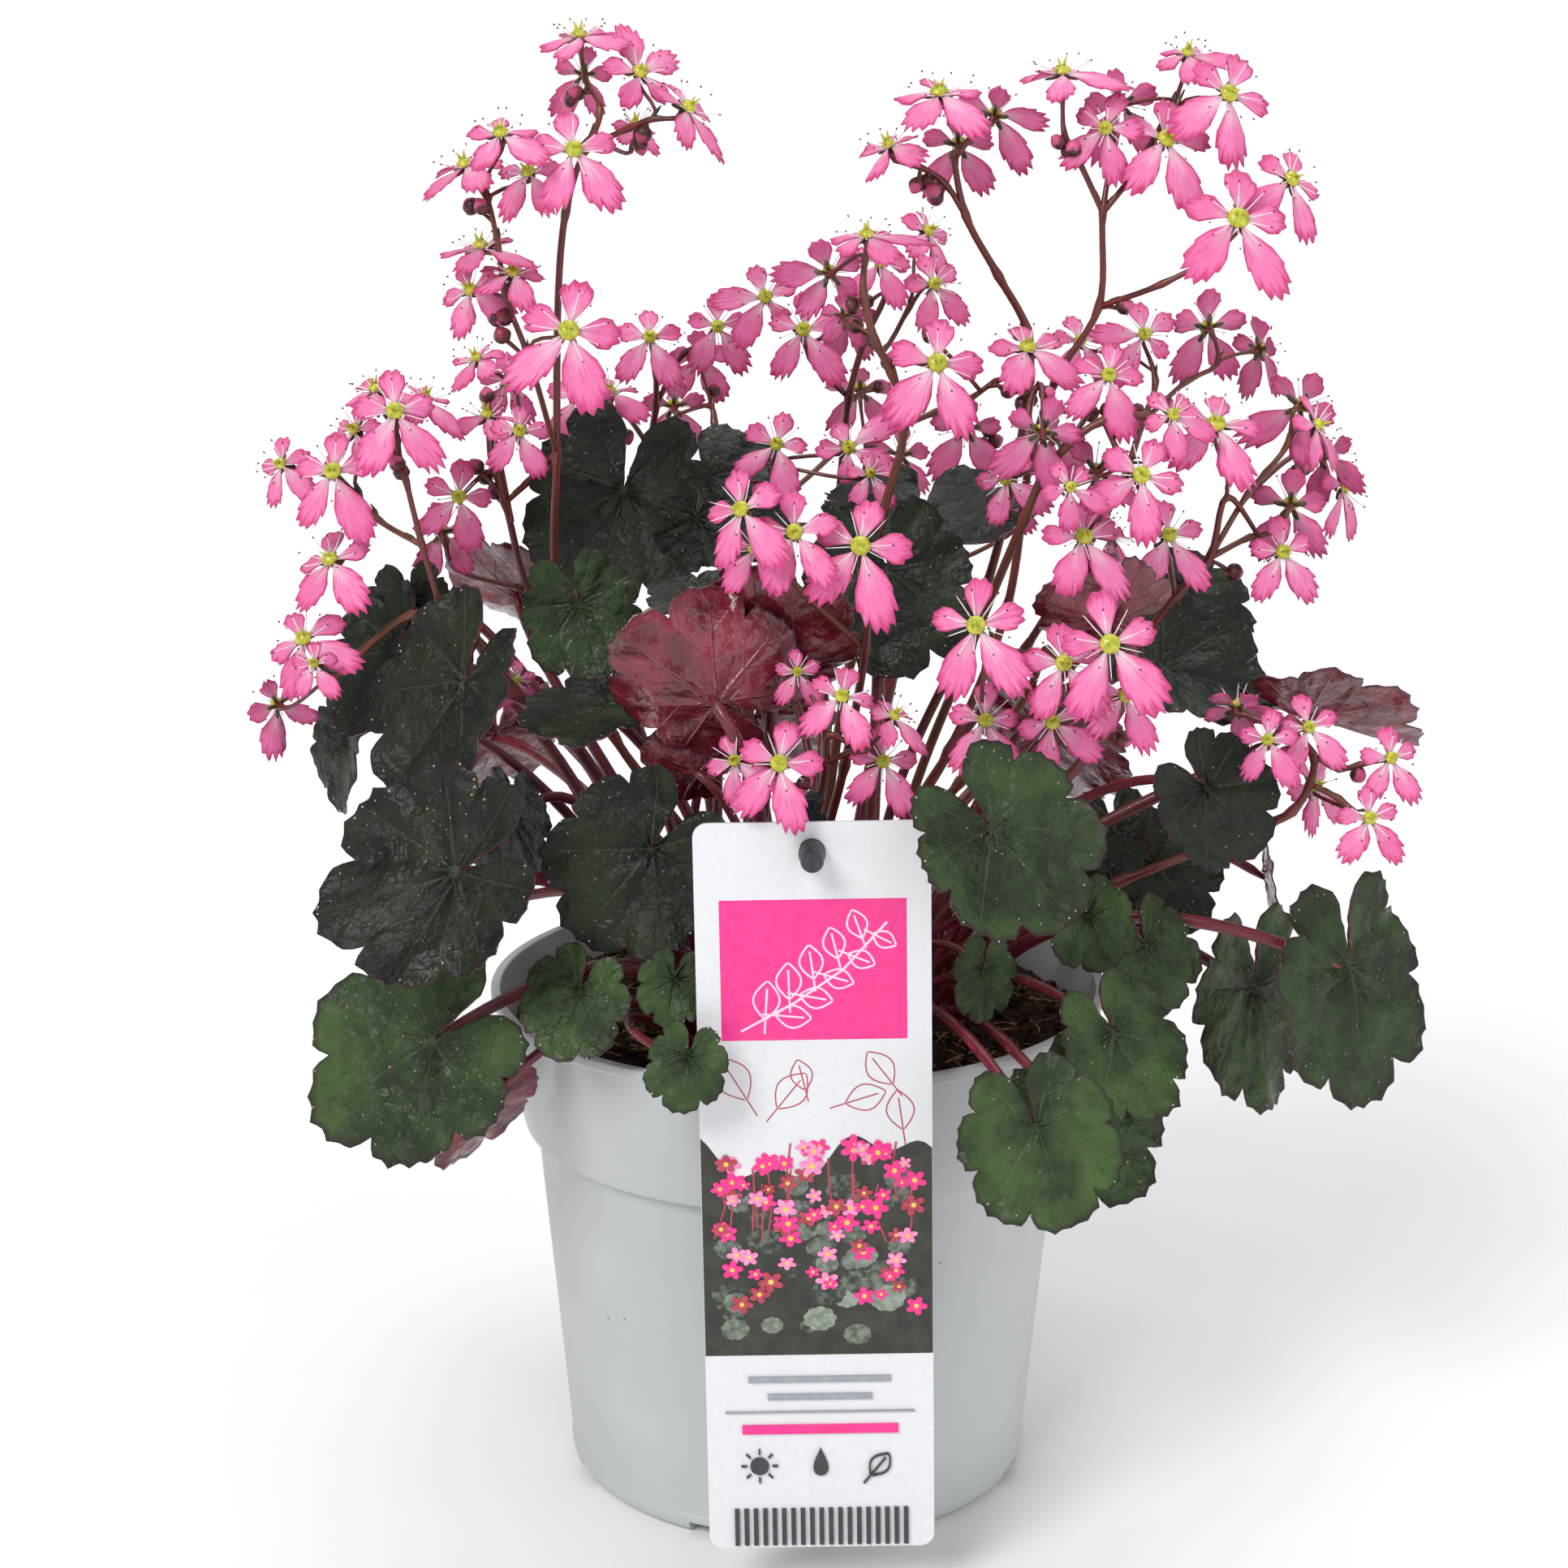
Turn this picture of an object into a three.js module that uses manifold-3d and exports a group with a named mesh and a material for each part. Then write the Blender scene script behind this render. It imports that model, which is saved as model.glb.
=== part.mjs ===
// A potted saxifrage: dark round leaves on maroon stalks and open sprays of pink flowers, in a 14 cm pot.
// Millimetres, +Z up, with the origin at the centre of the pot's base. The viewer stands on the -Y side.
import * as THREE from "three";
import { mergeVertices } from "three/addons/utils/BufferGeometryUtils.js";
import Module from "manifold-3d";

const wasm = await Module();
wasm.setup();

// Driving dimensions of the pot
const POT_HEIGHT = 115;
const RIM_RADIUS = 70;
const BAND_HEIGHT = 31;
const BAND_FOOT_RADIUS = 63;
const WALL_TOP_RADIUS = 60;
const BASE_RADIUS = 53;
const POT_WALL = 1.6;
const FLOOR_THICKNESS = 5;
const BASE_ROUND = 4;
const CHANNELS = 8;
const CHANNEL_WIDTH = 9;
const CHANNEL_HEIGHT = 3;
const CHANNEL_REACH = 24;
const DRAIN_RADIUS = 3.5;
const DRAIN_RING = 38;
const POT_SIDES = 28;

// Soil, the places where stems leave it, and how deep they stand
const SOIL_TOP = 108;
const SOIL_SLOPE = 3;
const SOIL_SIDES = 16;
const STEM_DEPTH = 7;
const STEM_SPACING = 6.2;
const STEM_SPOTS = 90;
const SPIRAL_SHARE = 0.62;
const GOLDEN_ANGLE = Math.PI * (3 - Math.sqrt(5));
const SPRAY_ROOT_SHARE = 0.16;
const LEAF_ROOT_NEAR = 7;
const LEAF_ROOT_FAR = 27;
const LEAF_ROOT_SHARE = 0.2;
const SHARED_ROOT_STEP = 0.9;
const GAP = 0.35;
const HOLE_SIDES = 4;

// Hanging card and the stake that carries it
const CARD_WIDTH = 48;
const CARD_THICKNESS = 0.7;
const CARD_CORNER = 3;
const CARD_LENGTH = 161;
const CARD_LEAN = 0.95;
const CARD_X = 2.4;
const CARD_Y = -73;
const CARD_HOLE_Z = 166.2;
const CARD_HOLE_DROP = 6.2;
const CARD_HOLE_RADIUS = 2.8;
const PEG_RADIUS = 2.4;
const PEG_LENGTH = 8;
const STAKE_Y = -57;
const STAKE_WIDTH = 3.2;
const STAKE_DEPTH = 2;
const STAKE_ROOT = 16;
const WING_WIDTH = 6.4;
const WING_DEPTH = 1.4;
const WING_HEIGHT = 3.4;
const HEAD_RADIUS = 3;
const HEAD_HEIGHT = 3.6;
const CARD_TOP = CARD_HOLE_Z + CARD_HOLE_DROP;
const CARD_BOTTOM = CARD_TOP - CARD_LENGTH;

// Plant tissue
const BLADE_THICKNESS = 0.8;
const LOBES = 7;
const LARGE_LEAF = 51;
const SMALL_LEAF = 34;
const COMMON_WIDTH = 45;
const RICH_SIZE = 1.25;
const SMALL_BLOOM = 0.96;
const PETIOLE_RADIUS = 2;
const STALK_SIDES = 3;
const PEDICEL_RADIUS = 0.6;
const BRANCH_RADIUS = 1;
const BURIED_RADIUS = 0.4;
const BURIED_END_RADIUS = 0.5;
const STEM_RADIUS = 1.6;
const LONG_PETAL = 15;
const SHORT_PETAL = 8.5;
const BUD_RADIUS = 1.9;
const BUDS_APART = 5;
const LONG_STALK = 22;
const FORK_SPACING = 1.7;
const SLIVER = 0.12;

const COLOURS = {
  pot: [0xc9cfd1, 0.42],
  soil: [0x2a1a10, 0.95],
  card: [0xf0f2f5, 0.35],
  stake: [0x33373c, 0.45],
  leaf: [0x2c3a2a, 0.5],
  spray: [0xf07cb8, 0.6],
};

// The viewpoint of the photograph, found from the pot's outline: focal length and image centre in pixels
const VIEW = { focal: 3805, centre: 966, x: -3.2, y: -670.8, z: 338.5, pitch: 0.259 };

// The point at depth y that the photograph shows at pixel (u, v)
function seen(u, v, y) {
  const right = (u - VIEW.centre) / VIEW.focal;
  const up = (VIEW.centre - v) / VIEW.focal;
  const c = Math.cos(VIEW.pitch);
  const s = Math.sin(VIEW.pitch);
  const t = (y - VIEW.y) / (c + up * s);
  return new THREE.Vector3(VIEW.x + t * right, y, VIEW.z + t * (up * c - s));
}

const radians = THREE.MathUtils.degToRad;
const up = new THREE.Vector3(0, 0, 1);

// Leaves. at: pixel of the stalk's joint with the blade, and its depth y. width: mm across the blade.
// face: where the upper side looks, 0 to the viewer, 90 to the right, 180 away. tilt: how far it looks up.
// turn: the tip's angle from straight downhill. cup: rise of the edge. fold: rise beside the midrib.
const LEAF_FIELDS = ["u", "v", "y", "width", "face", "tilt", "turn", "cup", "fold"];
const LEAVES = {
  leaf_low_left: [[532, 1282, -54, 52, -20, 20, -52, 0.05, -0.1]],
  leaf_low_left_under: [[590, 1356, -40, 34, -140, 30, 0, 0.1, 0]],
  leaf_left_bowl: [[562, 1074, -63, 51, -22, 30, -66, 0.3, 0]],
  leaf_left_shoulder: [[572, 838, -36, 47, -44, 24, -22, 0.1, 0.2]],
  leaf_left_back_high: [[503, 742, 4, 25, -20, 25, 12, 0.1, 0]],
  leaf_left_back: [[488, 796, -8, 38, -38, 35, -14, 0.12, 0]],
  leaf_left_hanging: [[430, 905, 6, 29, -60, 8, 4, -0.1, 0.3]],
  leaf_left_red: [[642, 732, 42, 36, 158, 42, 150, 0.2, 0]],
  leaf_crown_left: [[768, 602, 22, 50, -6, 26, -10, 0.12, 0.05]],
  leaf_crown_back: [[868, 590, 58, 46, 8, 48, 12, -0.1, 0]],
  leaf_green_cup: [[712, 742, -26, 29, 0, 14, 16, 0.3, 0]],
  leaf_green_flat: [[748, 868, -31, 33, -10, 76, -50, 0.1, 0]],
  leaf_red_front: [[884, 862, -52, 43, 176, 12, 126, 0.5, 0.3]],
  leaf_red_right: [[951, 819, -40, 44, 178, 34, 172, 0.5, 0]],
  leaf_red_young: [[858, 950, -38, 21, 180, 12, 118, 0.5, 0.1]],
  leaf_mid_dark: [[1092, 702, -8, 42, 0, 20, 4, 0.1, 0]],
  leaf_crown_right: [[1136, 628, 24, 50, 8, 80, -14, 0.3, 0]],
  leaves_mid_left: [
    [858, 640, -2, 20, -12, 10, -14, 0.15, 0],
    [860, 730, -24, 20, -6, 76, -48, 0.15, 0],
  ],
  leaf_right_red: [[1374, 760, -34, 30, 184, 30, 108, 0.35, 0.2]],
  leaf_right_back: [[1462, 722, 30, 30, 38, 52, 34, 0.1, 0]],
  leaf_right_dark: [[1478, 800, 22, 38, 48, 42, 16, 0.1, 0]],
  leaf_right_fold: [[1432, 822, -2, 44, 28, 58, 58, 0.05, 0.25]],
  leaf_right_wing: [[1606, 880, -4, 45, 150, 66, -48, 0.1, 0.3]],
  leaf_right_veined: [[1486, 970, -42, 32, 22, 18, 40, 0.12, 0]],
  leaf_front_right: [[1222, 1020, -80, 41, 8, 30, 36, 0.1, 0.1]],
  leaves_young_right: [
    [1212, 1194, -54, 20, 40, 8, -10, 0.1, 0],
    [1340, 1128, -50, 22, 10, 30, 10, 0.2, 0],
  ],
  leaf_right_small: [[1412, 1165, -44, 27, 32, 16, 18, 0.1, 0]],
  leaf_rim_right: [[1372, 1272, -64, 34, 34, 28, 18, 0.12, 0]],
  leaf_pot_front: [[1276, 1388, -93, 37, 10, 20, 16, 0.06, 0]],
  leaf_pot_behind: [[1321, 1362, -78, 38, 22, 24, 30, 0.05, 0]],
  leaves_shade_right: [
    [1424, 1062, -16, 30, 20, 18, 32, 0.1, 0],
    [1374, 1022, 4, 26, 0, 40, 10, 0.1, 0],
  ],
  leaf_hanging_right: [[1546, 1216, 2, 49, 46, 12, -4, 0.08, 0]],
  leaf_far_right: [[1663, 1189, -32, 51, 40, 14, 0, 0.1, -0.1]],
  leaf_edge_right: [[1562, 1075, 24, 32, 84, 10, 0, 0.1, 0]],
  leaf_left_low_dark: [[802, 1046, -50, 42, -8, 14, -38, 0.1, 0]],
  leaves_rim_left: [
    [714, 1222, -58, 26, -14, 30, -16, 0.1, 0],
    [832, 1206, -63, 18, -10, 16, -6, 0.1, 0],
    [848, 1302, -75, 19, -6, 14, -8, 0.1, 0],
  ],
  leaf_narrow_left: [[632, 1008, 2, 32, -48, 10, 6, 0.1, 0]],
  leaves_back_left: [
    [610, 900, 72, 44, -150, 34, 0, 0.12, 0],
    [560, 1120, 62, 42, -128, 26, 10, 0.1, 0],
  ],
  leaves_back: [
    [820, 1080, 104, 46, -172, 30, -8, 0.1, 0],
    [930, 880, 84, 48, 176, 40, 0, 0.15, 0],
  ],
  leaves_back_right: [
    [1120, 1090, 102, 44, 164, 28, 8, 0.1, 0],
    [1290, 900, 74, 48, 148, 36, 0, 0.12, 0],
    [1390, 1060, 66, 44, 130, 24, 0, 0.1, 0],
  ],
};

// Flower sprays. lines: pixels and depths up the main stem from where it shows, then the branches, each from
// a point of an earlier line (line, index). blooms: pixel and depth of the flower's centre, where it faces,
// how far it looks up, its size, and how far the long petals swing from straight down.
const BLOOM_FIELDS = ["u", "v", "y", "face", "tilt", "size", "swing"];
const SPRAYS = {
  spray_top_left: {
    lines: [
      [[690, 745, 8], [686, 560, -2], [697, 262, -4], [727, 180, -6]],
      [[0, 3], [740, 135, -6], [722, 100, 2]],
      [[0, 3], [775, 158, -10], [806, 146, -12]],
      [[0, 1], [651, 440, -14], [622, 362, -16], [613, 300, -14], [598, 240, -12]],
    ],
    blooms: [
      [714, 46, 4, -20, 78, 1, 40], [719, 92, 14, 190, 10, 0.75, 10], [788, 90, -4, 30, 35, 0.95, 150],
      [846, 134, -14, 62, 38, 1, -20], [782, 156, 6, 20, 60, 0.6, -10], [617, 166, -22, -10, 58, 0.95, 20],
      [573, 205, -8, -40, 66, 0.95, 30], [707, 185, -24, 10, 28, 1.1, 8],
      [652, 213, -14, -20, 40, 0.85, 10],
      [592, 306, -12, -20, 76, 1, 40], [631, 338, -22, 25, 66, 0.85, -30],
      [580, 358, -20, -20, 34, 0.85, 30],
      [701, 408, -28, 2, 26, 1.3, -14],
    ],
    buds: [
      [700, 112, -2], [690, 120, 0], [787, 176, -12], [792, 192, -10], [588, 244, -14], [574, 246, -8],
      [612, 384, -16], [600, 388, -14], [612, 404, -18],
    ],
  },
  spray_left: {
    lines: [
      [[602, 812, -20], [580, 782, -22], [545, 757, -22], [505, 758, -20], [448, 800, -18],
        [408, 836, -16]],
      [[0, 2], [520, 672, -22], [500, 592, -22], [489, 545, -20]],
      [[1, 1], [466, 640, -14], [440, 610, -12]],
    ],
    blooms: [
      [487, 507, -24, 5, 26, 1.1, 0], [463, 482, -8, -20, 72, 0.9, 50], [522, 492, -6, 60, 60, 0.85, -30],
      [438, 530, -14, -30, 30, 0.8, 0], [411, 581, -20, -8, 24, 1.1, 0], [348, 572, -10, -30, 20, 0.75, 20],
      [408, 691, -20, -30, 46, 1.05, 24], [375, 788, -26, -18, 40, 1.05, 36],
      [388, 818, -30, -10, 30, 0.6, 10],
      [342, 868, -6, -150, 10, 0.85, -30], [637, 838, -12, 0, 20, 0.55, 0],
    ],
    buds: [[483, 562, -22], [492, 574, -18], [478, 552, -14]],
  },
  spray_left_back: {
    lines: [
      [[652, 728, 24], [622, 620, 18], [606, 580, 18]],
      [[0, 1], [648, 596, 18], [660, 578, 16]],
      [[0, 0], [560, 700, 22], [548, 668, 16]],
    ],
    blooms: [
      [600, 514, 18, -10, 74, 0.85, 0], [640, 532, 8, 8, 28, 0.85, -8], [588, 444, 22, -40, 60, 0.75, 30],
      [626, 470, 26, 20, 10, 0.85, 0], [565, 612, 10, 8, 16, 0.95, -14], [545, 655, 20, 170, 10, 0.9, 0],
    ],
    buds: [
      [580, 566, 16], [592, 578, 20], [610, 560, 14], [604, 596, 20], [668, 572, 12], [690, 560, 18],
      [598, 476, 20],
    ],
  },
  spray_mid_left_back: {
    lines: [
      [[806, 560, 62], [808, 500, 58], [808, 458, 54]],
      [[0, 1], [842, 436, 58], [862, 425, 56]],
      [[0, 0], [770, 510, 54], [752, 500, 50]],
    ],
    blooms: [
      [801, 416, 48, 0, 28, 0.95, 0], [884, 402, 54, 10, 12, 0.9, 0], [752, 484, 44, -10, 60, 0.8, 20],
      [712, 490, 44, -10, 20, 0.9, 0],
    ],
    buds: [[858, 440, 54], [866, 446, 56], [776, 548, 50]],
  },
  spray_mid_back: {
    lines: [
      [[1040, 548, 44], [1046, 490, 42], [1066, 418, 40], [1092, 358, 38]],
      [[0, 1], [1006, 452, 40], [994, 430, 40]],
      [[0, 2], [1088, 432, 46], [1120, 380, 44]],
      [[0, 0], [962, 610, 28], [950, 580, 22]],
    ],
    blooms: [
      [943, 366, 34, 0, 24, 0.95, -60], [990, 406, 30, 0, 18, 1, 0], [1084, 323, 32, 6, 24, 0.85, -12],
      [1150, 350, 36, 24, 14, 0.9, 10], [1142, 286, 44, 50, 34, 0.85, -30],
      [1046, 392, 46, 180, 10, 0.8, 0],
      [957, 548, 14, 0, 28, 0.9, -20], [1046, 552, 16, -6, 30, 0.95, 100], [1072, 584, 8, 8, 24, 0.65, 0],
    ],
    buds: [[928, 606, 20], [900, 590, 18], [1060, 372, 44], [1104, 450, 44], [1092, 470, 46]],
  },
  spray_mid: {
    lines: [
      [[1086, 640, -6], [1114, 524, -10], [1098, 458, -10], [1078, 420, -10], [1064, 362, -8],
        [1066, 318, -6]],
      [[0, 1], [1152, 508, -4], [1194, 492, 2], [1226, 470, 4]],
    ],
    blooms: [
      [1155, 448, -22, 4, 26, 1.25, -8], [1068, 292, -8, -8, 74, 1, 60], [1022, 336, 2, 176, 14, 0.95, 60],
      [1040, 388, 0, 160, 20, 0.6, 0], [1266, 430, -8, 6, 62, 1.1, 10],
    ],
    buds: [[1038, 376, -6], [1048, 392, -4], [1252, 482, 0], [1262, 474, -2], [1138, 404, 2]],
  },
  spray_top_mid: {
    lines: [
      [[1268, 470, 12], [1266, 408, 10], [1230, 340, 6], [1190, 266, 2], [1176, 196, 2]],
      [[0, 3], [1164, 226, 0], [1132, 205, -2]],
      [[0, 4], [1200, 165, 2], [1212, 155, 4]],
    ],
    blooms: [
      [1157, 116, -4, 0, 66, 1.15, 6], [1181, 178, 12, 176, 20, 1, 0], [1096, 181, -2, -50, 62, 0.85, 50],
      [1226, 142, 10, 160, 30, 0.95, -60],
    ],
    buds: [[1124, 238, -4], [1136, 232, 0], [1148, 240, -4], [1142, 246, 2], [1248, 404, 8]],
  },
  spray_top_right: {
    lines: [
      [[1240, 752, -10], [1271, 560, -8], [1302, 466, -8], [1354, 378, -8], [1359, 262, -8]],
      [[0, 4], [1328, 196, -6], [1312, 168, -6]],
      [[0, 4], [1394, 218, -6], [1416, 182, -2], [1446, 128, 4]],
      [[0, 3], [1432, 350, -14], [1500, 312, -16]],
      [[2, 2], [1440, 140, 2], [1452, 130, 2]],
    ],
    blooms: [
      [1309, 91, -4, -14, 78, 1.05, 40], [1380, 128, 6, 180, 6, 0.95, -10],
      [1363, 158, -12, -20, 10, 0.9, -16],
      [1437, 172, -10, 14, 34, 1.2, -16], [1463, 68, 6, 10, 66, 0.85, 30],
      [1513, 116, -4, 20, 22, 1.15, -30],
      [1525, 270, -26, 6, 30, 1.35, -10], [1590, 222, -10, 30, 30, 1, -30],
    ],
    buds: [
      [1296, 168, -8], [1312, 178, -4], [1322, 172, -8], [1468, 134, 0], [1479, 156, 2], [1396, 372, -10],
    ],
  },
  spray_right_mid: {
    lines: [
      [[1262, 640, -24], [1284, 590, -26], [1316, 548, -28], [1360, 518, -28], [1412, 512, -28]],
      [[0, 2], [1345, 500, -18], [1352, 470, -20]],
      [[0, 3], [1380, 560, -30], [1392, 572, -32]],
      [[0, 1], [1268, 500, -20], [1281, 472, -17]],
    ],
    blooms: [
      [1366, 463, -26, 0, 28, 0.95, -10], [1444, 512, -32, 20, 30, 0.8, 30],
      [1406, 586, -40, 4, 26, 1.1, -26], [1334, 662, -38, 20, 34, 1.1, 0],
      [1284, 532, -30, 176, 10, 0.95, 20],
      [1240, 590, -14, -20, 10, 0.85, 24], [1318, 600, -38, 10, 14, 0.7, 30],
      [1350, 580, -20, 160, 12, 0.9, -30],
    ],
    buds: [
      [1300, 484, -20], [1344, 506, -14], [1388, 512, -22], [1402, 500, -20], [1376, 500, -18],
      [1420, 626, -34], [1252, 500, -14], [1268, 486, -14],
    ],
  },
  spray_right: {
    lines: [
      [[1388, 812, -12], [1448, 736, -14], [1490, 688, -14], [1512, 612, -14]],
      [[0, 2], [1538, 608, -10], [1560, 582, -8], [1586, 548, -6]],
      [[0, 2], [1540, 662, -10], [1570, 655, -8]],
      [[0, 1], [1440, 690, -18], [1436, 676, -20]],
      [[1, 1], [1600, 560, 2], [1626, 566, 4]],
    ],
    blooms: [
      [1498, 524, -22, 6, 50, 1.2, -16], [1440, 660, -26, 10, 30, 1, 0], [1602, 500, -6, 150, 10, 1.05, 30],
      [1634, 560, 6, 140, 6, 0.9, -20], [1590, 622, -6, 165, 16, 1.05, 0],
      [1580, 680, -16, 12, 14, 0.95, 4],
      [1654, 600, 8, 60, 10, 0.95, -10], [1622, 524, -2, 50, 20, 0.8, 0],
    ],
    buds: [[1532, 706, -12], [1600, 575, 0], [1608, 584, 4], [1420, 632, -20], [1596, 590, -2]],
  },
  spray_right_back: {
    lines: [
      [[1380, 600, 52], [1408, 520, 56], [1424, 470, 58]],
      [[0, 1], [1462, 470, 62], [1500, 448, 64]],
      [[0, 0], [1230, 560, 56], [1200, 540, 56]],
    ],
    blooms: [
      [1410, 412, 58, 0, 20, 0.95, -60], [1488, 404, 64, 190, 10, 1.1, 0],
      [1553, 430, 66, 120, 10, 0.95, 0],
      [1190, 528, 54, 176, 10, 1.05, 0], [1330, 420, 60, 20, 30, 0.85, 0],
    ],
    buds: [[1448, 500, 58], [1236, 540, 58], [1222, 520, 58]],
  },
  spray_front_right: {
    lines: [
      [[1268, 850, -52], [1284, 806, -62], [1290, 800, -66]],
      [[0, 1], [1236, 800, -66], [1224, 792, -68]],
      [[0, 0], [1318, 846, -66], [1340, 842, -70]],
    ],
    blooms: [
      [1203, 771, -76, -12, 22, 1.15, 6], [1311, 817, -78, -6, 20, 1, 10], [1367, 794, -84, 4, 22, 1.2, 4],
      [1386, 857, -74, 12, 22, 0.85, -10], [1214, 888, -66, 6, 26, 0.9, -8],
      [1296, 890, -70, 10, 20, 0.9, 24],
    ],
    buds: [[1236, 900, -62], [1392, 918, -62], [1290, 860, -62]],
  },
  spray_front: {
    lines: [
      [[1066, 800, -44], [1070, 730, -52], [1062, 706, -56]],
      [[0, 0], [1000, 740, -50], [960, 700, -54], [930, 670, -56]],
    ],
    blooms: [
      [1060, 673, -64, 0, 22, 1.2, -14], [979, 656, -66, -4, 22, 1, 6], [914, 628, -64, -30, 24, 1, 18],
      [930, 676, -56, -10, 20, 0.8, 0],
    ],
    buds: [[948, 688, -54], [940, 664, -52]],
  },
  spray_front_low: {
    lines: [
      [[1010, 985, -50], [1018, 940, -56], [1022, 905, -60]],
      [[0, 1], [1052, 925, -62], [1066, 925, -66]],
      [[0, 0], [960, 980, -58], [948, 965, -62]],
    ],
    blooms: [
      [1037, 859, -68, 6, 36, 0.85, -16], [1100, 884, -64, 40, 50, 0.7, -10],
      [1088, 938, -72, 6, 20, 0.85, -6],
      [960, 941, -74, -2, 24, 1.05, -16], [906, 938, -66, -14, 30, 0.75, 30],
      [982, 828, -52, 10, 20, 0.6, 0],
    ],
    buds: [[1002, 960, -56], [994, 975, -58]],
  },
  spray_low_right: {
    lines: [
      [[1560, 1016, -34], [1592, 1000, -36], [1614, 966, -36], [1618, 930, -34], [1594, 902, -32]],
      [[0, 3], [1650, 948, -34], [1676, 942, -34]],
      [[0, 2], [1650, 984, -38], [1668, 1000, -40]],
      [[0, 4], [1548, 886, -30], [1532, 880, -28]],
    ],
    blooms: [
      [1612, 896, -42, 4, 20, 0.8, 10], [1562, 912, -40, -10, 26, 0.75, 0],
      [1713, 934, -38, 14, 22, 0.8, 0],
      [1687, 1008, -46, 8, 22, 0.85, 0], [1618, 968, -26, 40, 16, 0.9, 20],
      [1524, 872, -24, 160, 40, 0.85, -40],
    ],
    buds: [[1680, 962, -36], [1588, 880, -34], [1574, 930, -36]],
  },
  spray_far_back: {
    lines: [
      [[900, 640, 90], [880, 520, 100], [876, 500, 102]],
      [[0, 0], [1040, 640, 104], [1060, 600, 106]],
      [[0, 0], [1130, 700, 96], [1240, 660, 96], [1300, 600, 98]],
    ],
    blooms: [
      [862, 440, 100, 180, 30, 1, 0], [830, 500, 104, -170, 20, 1, 0], [1060, 480, 104, 176, 30, 1.05, 0],
      [1110, 560, 112, 165, 18, 1, 0], [1300, 540, 102, 150, 30, 1.05, 0],
      [1240, 610, 108, 170, 20, 1, 0], [1370, 660, 92, 120, 26, 0.9, 0],
    ],
    buds: [[880, 470, 104], [1076, 540, 108], [1290, 570, 100]],
  },
};

// Solids and geometry

function solidFrom(positions, triangles) {
  const vertProperties = new Float32Array(positions.flatMap((p) => [p.x, p.y, p.z]));
  const triVerts = new Uint32Array(triangles);
  return new wasm.Manifold(new wasm.Mesh({ numProp: 3, vertProperties, triVerts }));
}

function solidOf(geometry) {
  const plain = geometry.clone();
  plain.deleteAttribute("normal");
  plain.deleteAttribute("uv");
  const merged = mergeVertices(plain, 1e-4);
  const vertProperties = new Float32Array(merged.attributes.position.array);
  const triVerts = new Uint32Array(merged.index.array);
  return new wasm.Manifold(new wasm.Mesh({ numProp: 3, vertProperties, triVerts }));
}

function geometryOf(solid) {
  const mesh = solid.getMesh();
  const geometry = new THREE.BufferGeometry();
  const position = new Float32Array(mesh.numVert * 3);
  for (let i = 0; i < mesh.numVert; i++)
    position.set(mesh.vertProperties.subarray(i * mesh.numProp, i * mesh.numProp + 3), i * 3);
  geometry.setAttribute("position", new THREE.BufferAttribute(position, 3));
  geometry.setIndex(new THREE.BufferAttribute(mesh.triVerts, 1));
  geometry.computeVertexNormals();
  return geometry;
}

function largestBody(solid) {
  const bodies = solid.decompose();
  return bodies.reduce((best, body) => (body.volume() > best.volume() ? body : best));
}

function lathe(profile, sides) {
  const points = profile.map(([r, z]) => new THREE.Vector2(r, z));
  return solidOf(new THREE.LatheGeometry(points, sides).rotateX(Math.PI / 2));
}

function cylinder(radius, height, sides, x, y, z) {
  const upright = new THREE.CylinderGeometry(radius, radius, height, sides).rotateX(Math.PI / 2);
  return solidOf(upright.translate(x, y, z));
}

const FIRST_SIDE = new THREE.Vector3(1, 0.2, 0);

// Rings of a tube through points, each with its own radius. The first ring may stay open for what joins it.
function tubeShell(points, radii, firstSide, open, sides = STALK_SIDES) {
  const positions = [];
  const triangles = [];
  let side = firstSide;
  points.forEach((point, i) => {
    const before = points[Math.max(0, i - 1)];
    const after = points[Math.min(points.length - 1, i + 1)];
    const along = after.clone().sub(before).normalize();
    side = side.clone().addScaledVector(along, -side.dot(along)).normalize();
    const other = along.clone().cross(side);
    for (let k = 0; k < sides; k++) {
      const a = (2 * Math.PI * k) / sides;
      const onRing = point.clone().addScaledVector(side, radii[i] * Math.cos(a));
      positions.push(onRing.addScaledVector(other, radii[i] * Math.sin(a)));
    }
  });
  for (let i = 0; i < points.length - 1; i++)
    for (let k = 0; k < sides; k++) {
      const a = i * sides + k;
      const b = i * sides + ((k + 1) % sides);
      triangles.push(a, b, b + sides, a, b + sides, a + sides);
    }
  const last = (points.length - 1) * sides;
  for (let k = 1; k < sides - 1; k++) {
    if (!open) triangles.push(0, k + 1, k);
    triangles.push(last, last + k, last + k + 1);
  }
  return { positions, triangles };
}

function tube({ points, radii }, extra) {
  const wide = radii.map((r) => r + extra);
  const { positions, triangles } = tubeShell(points, wide, FIRST_SIDE, false);
  return solidFrom(positions, triangles);
}

// Radii that change evenly along a route
function taper(points, start, end) {
  return points.map((_, i) => start + ((end - start) * i) / (points.length - 1));
}

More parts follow.
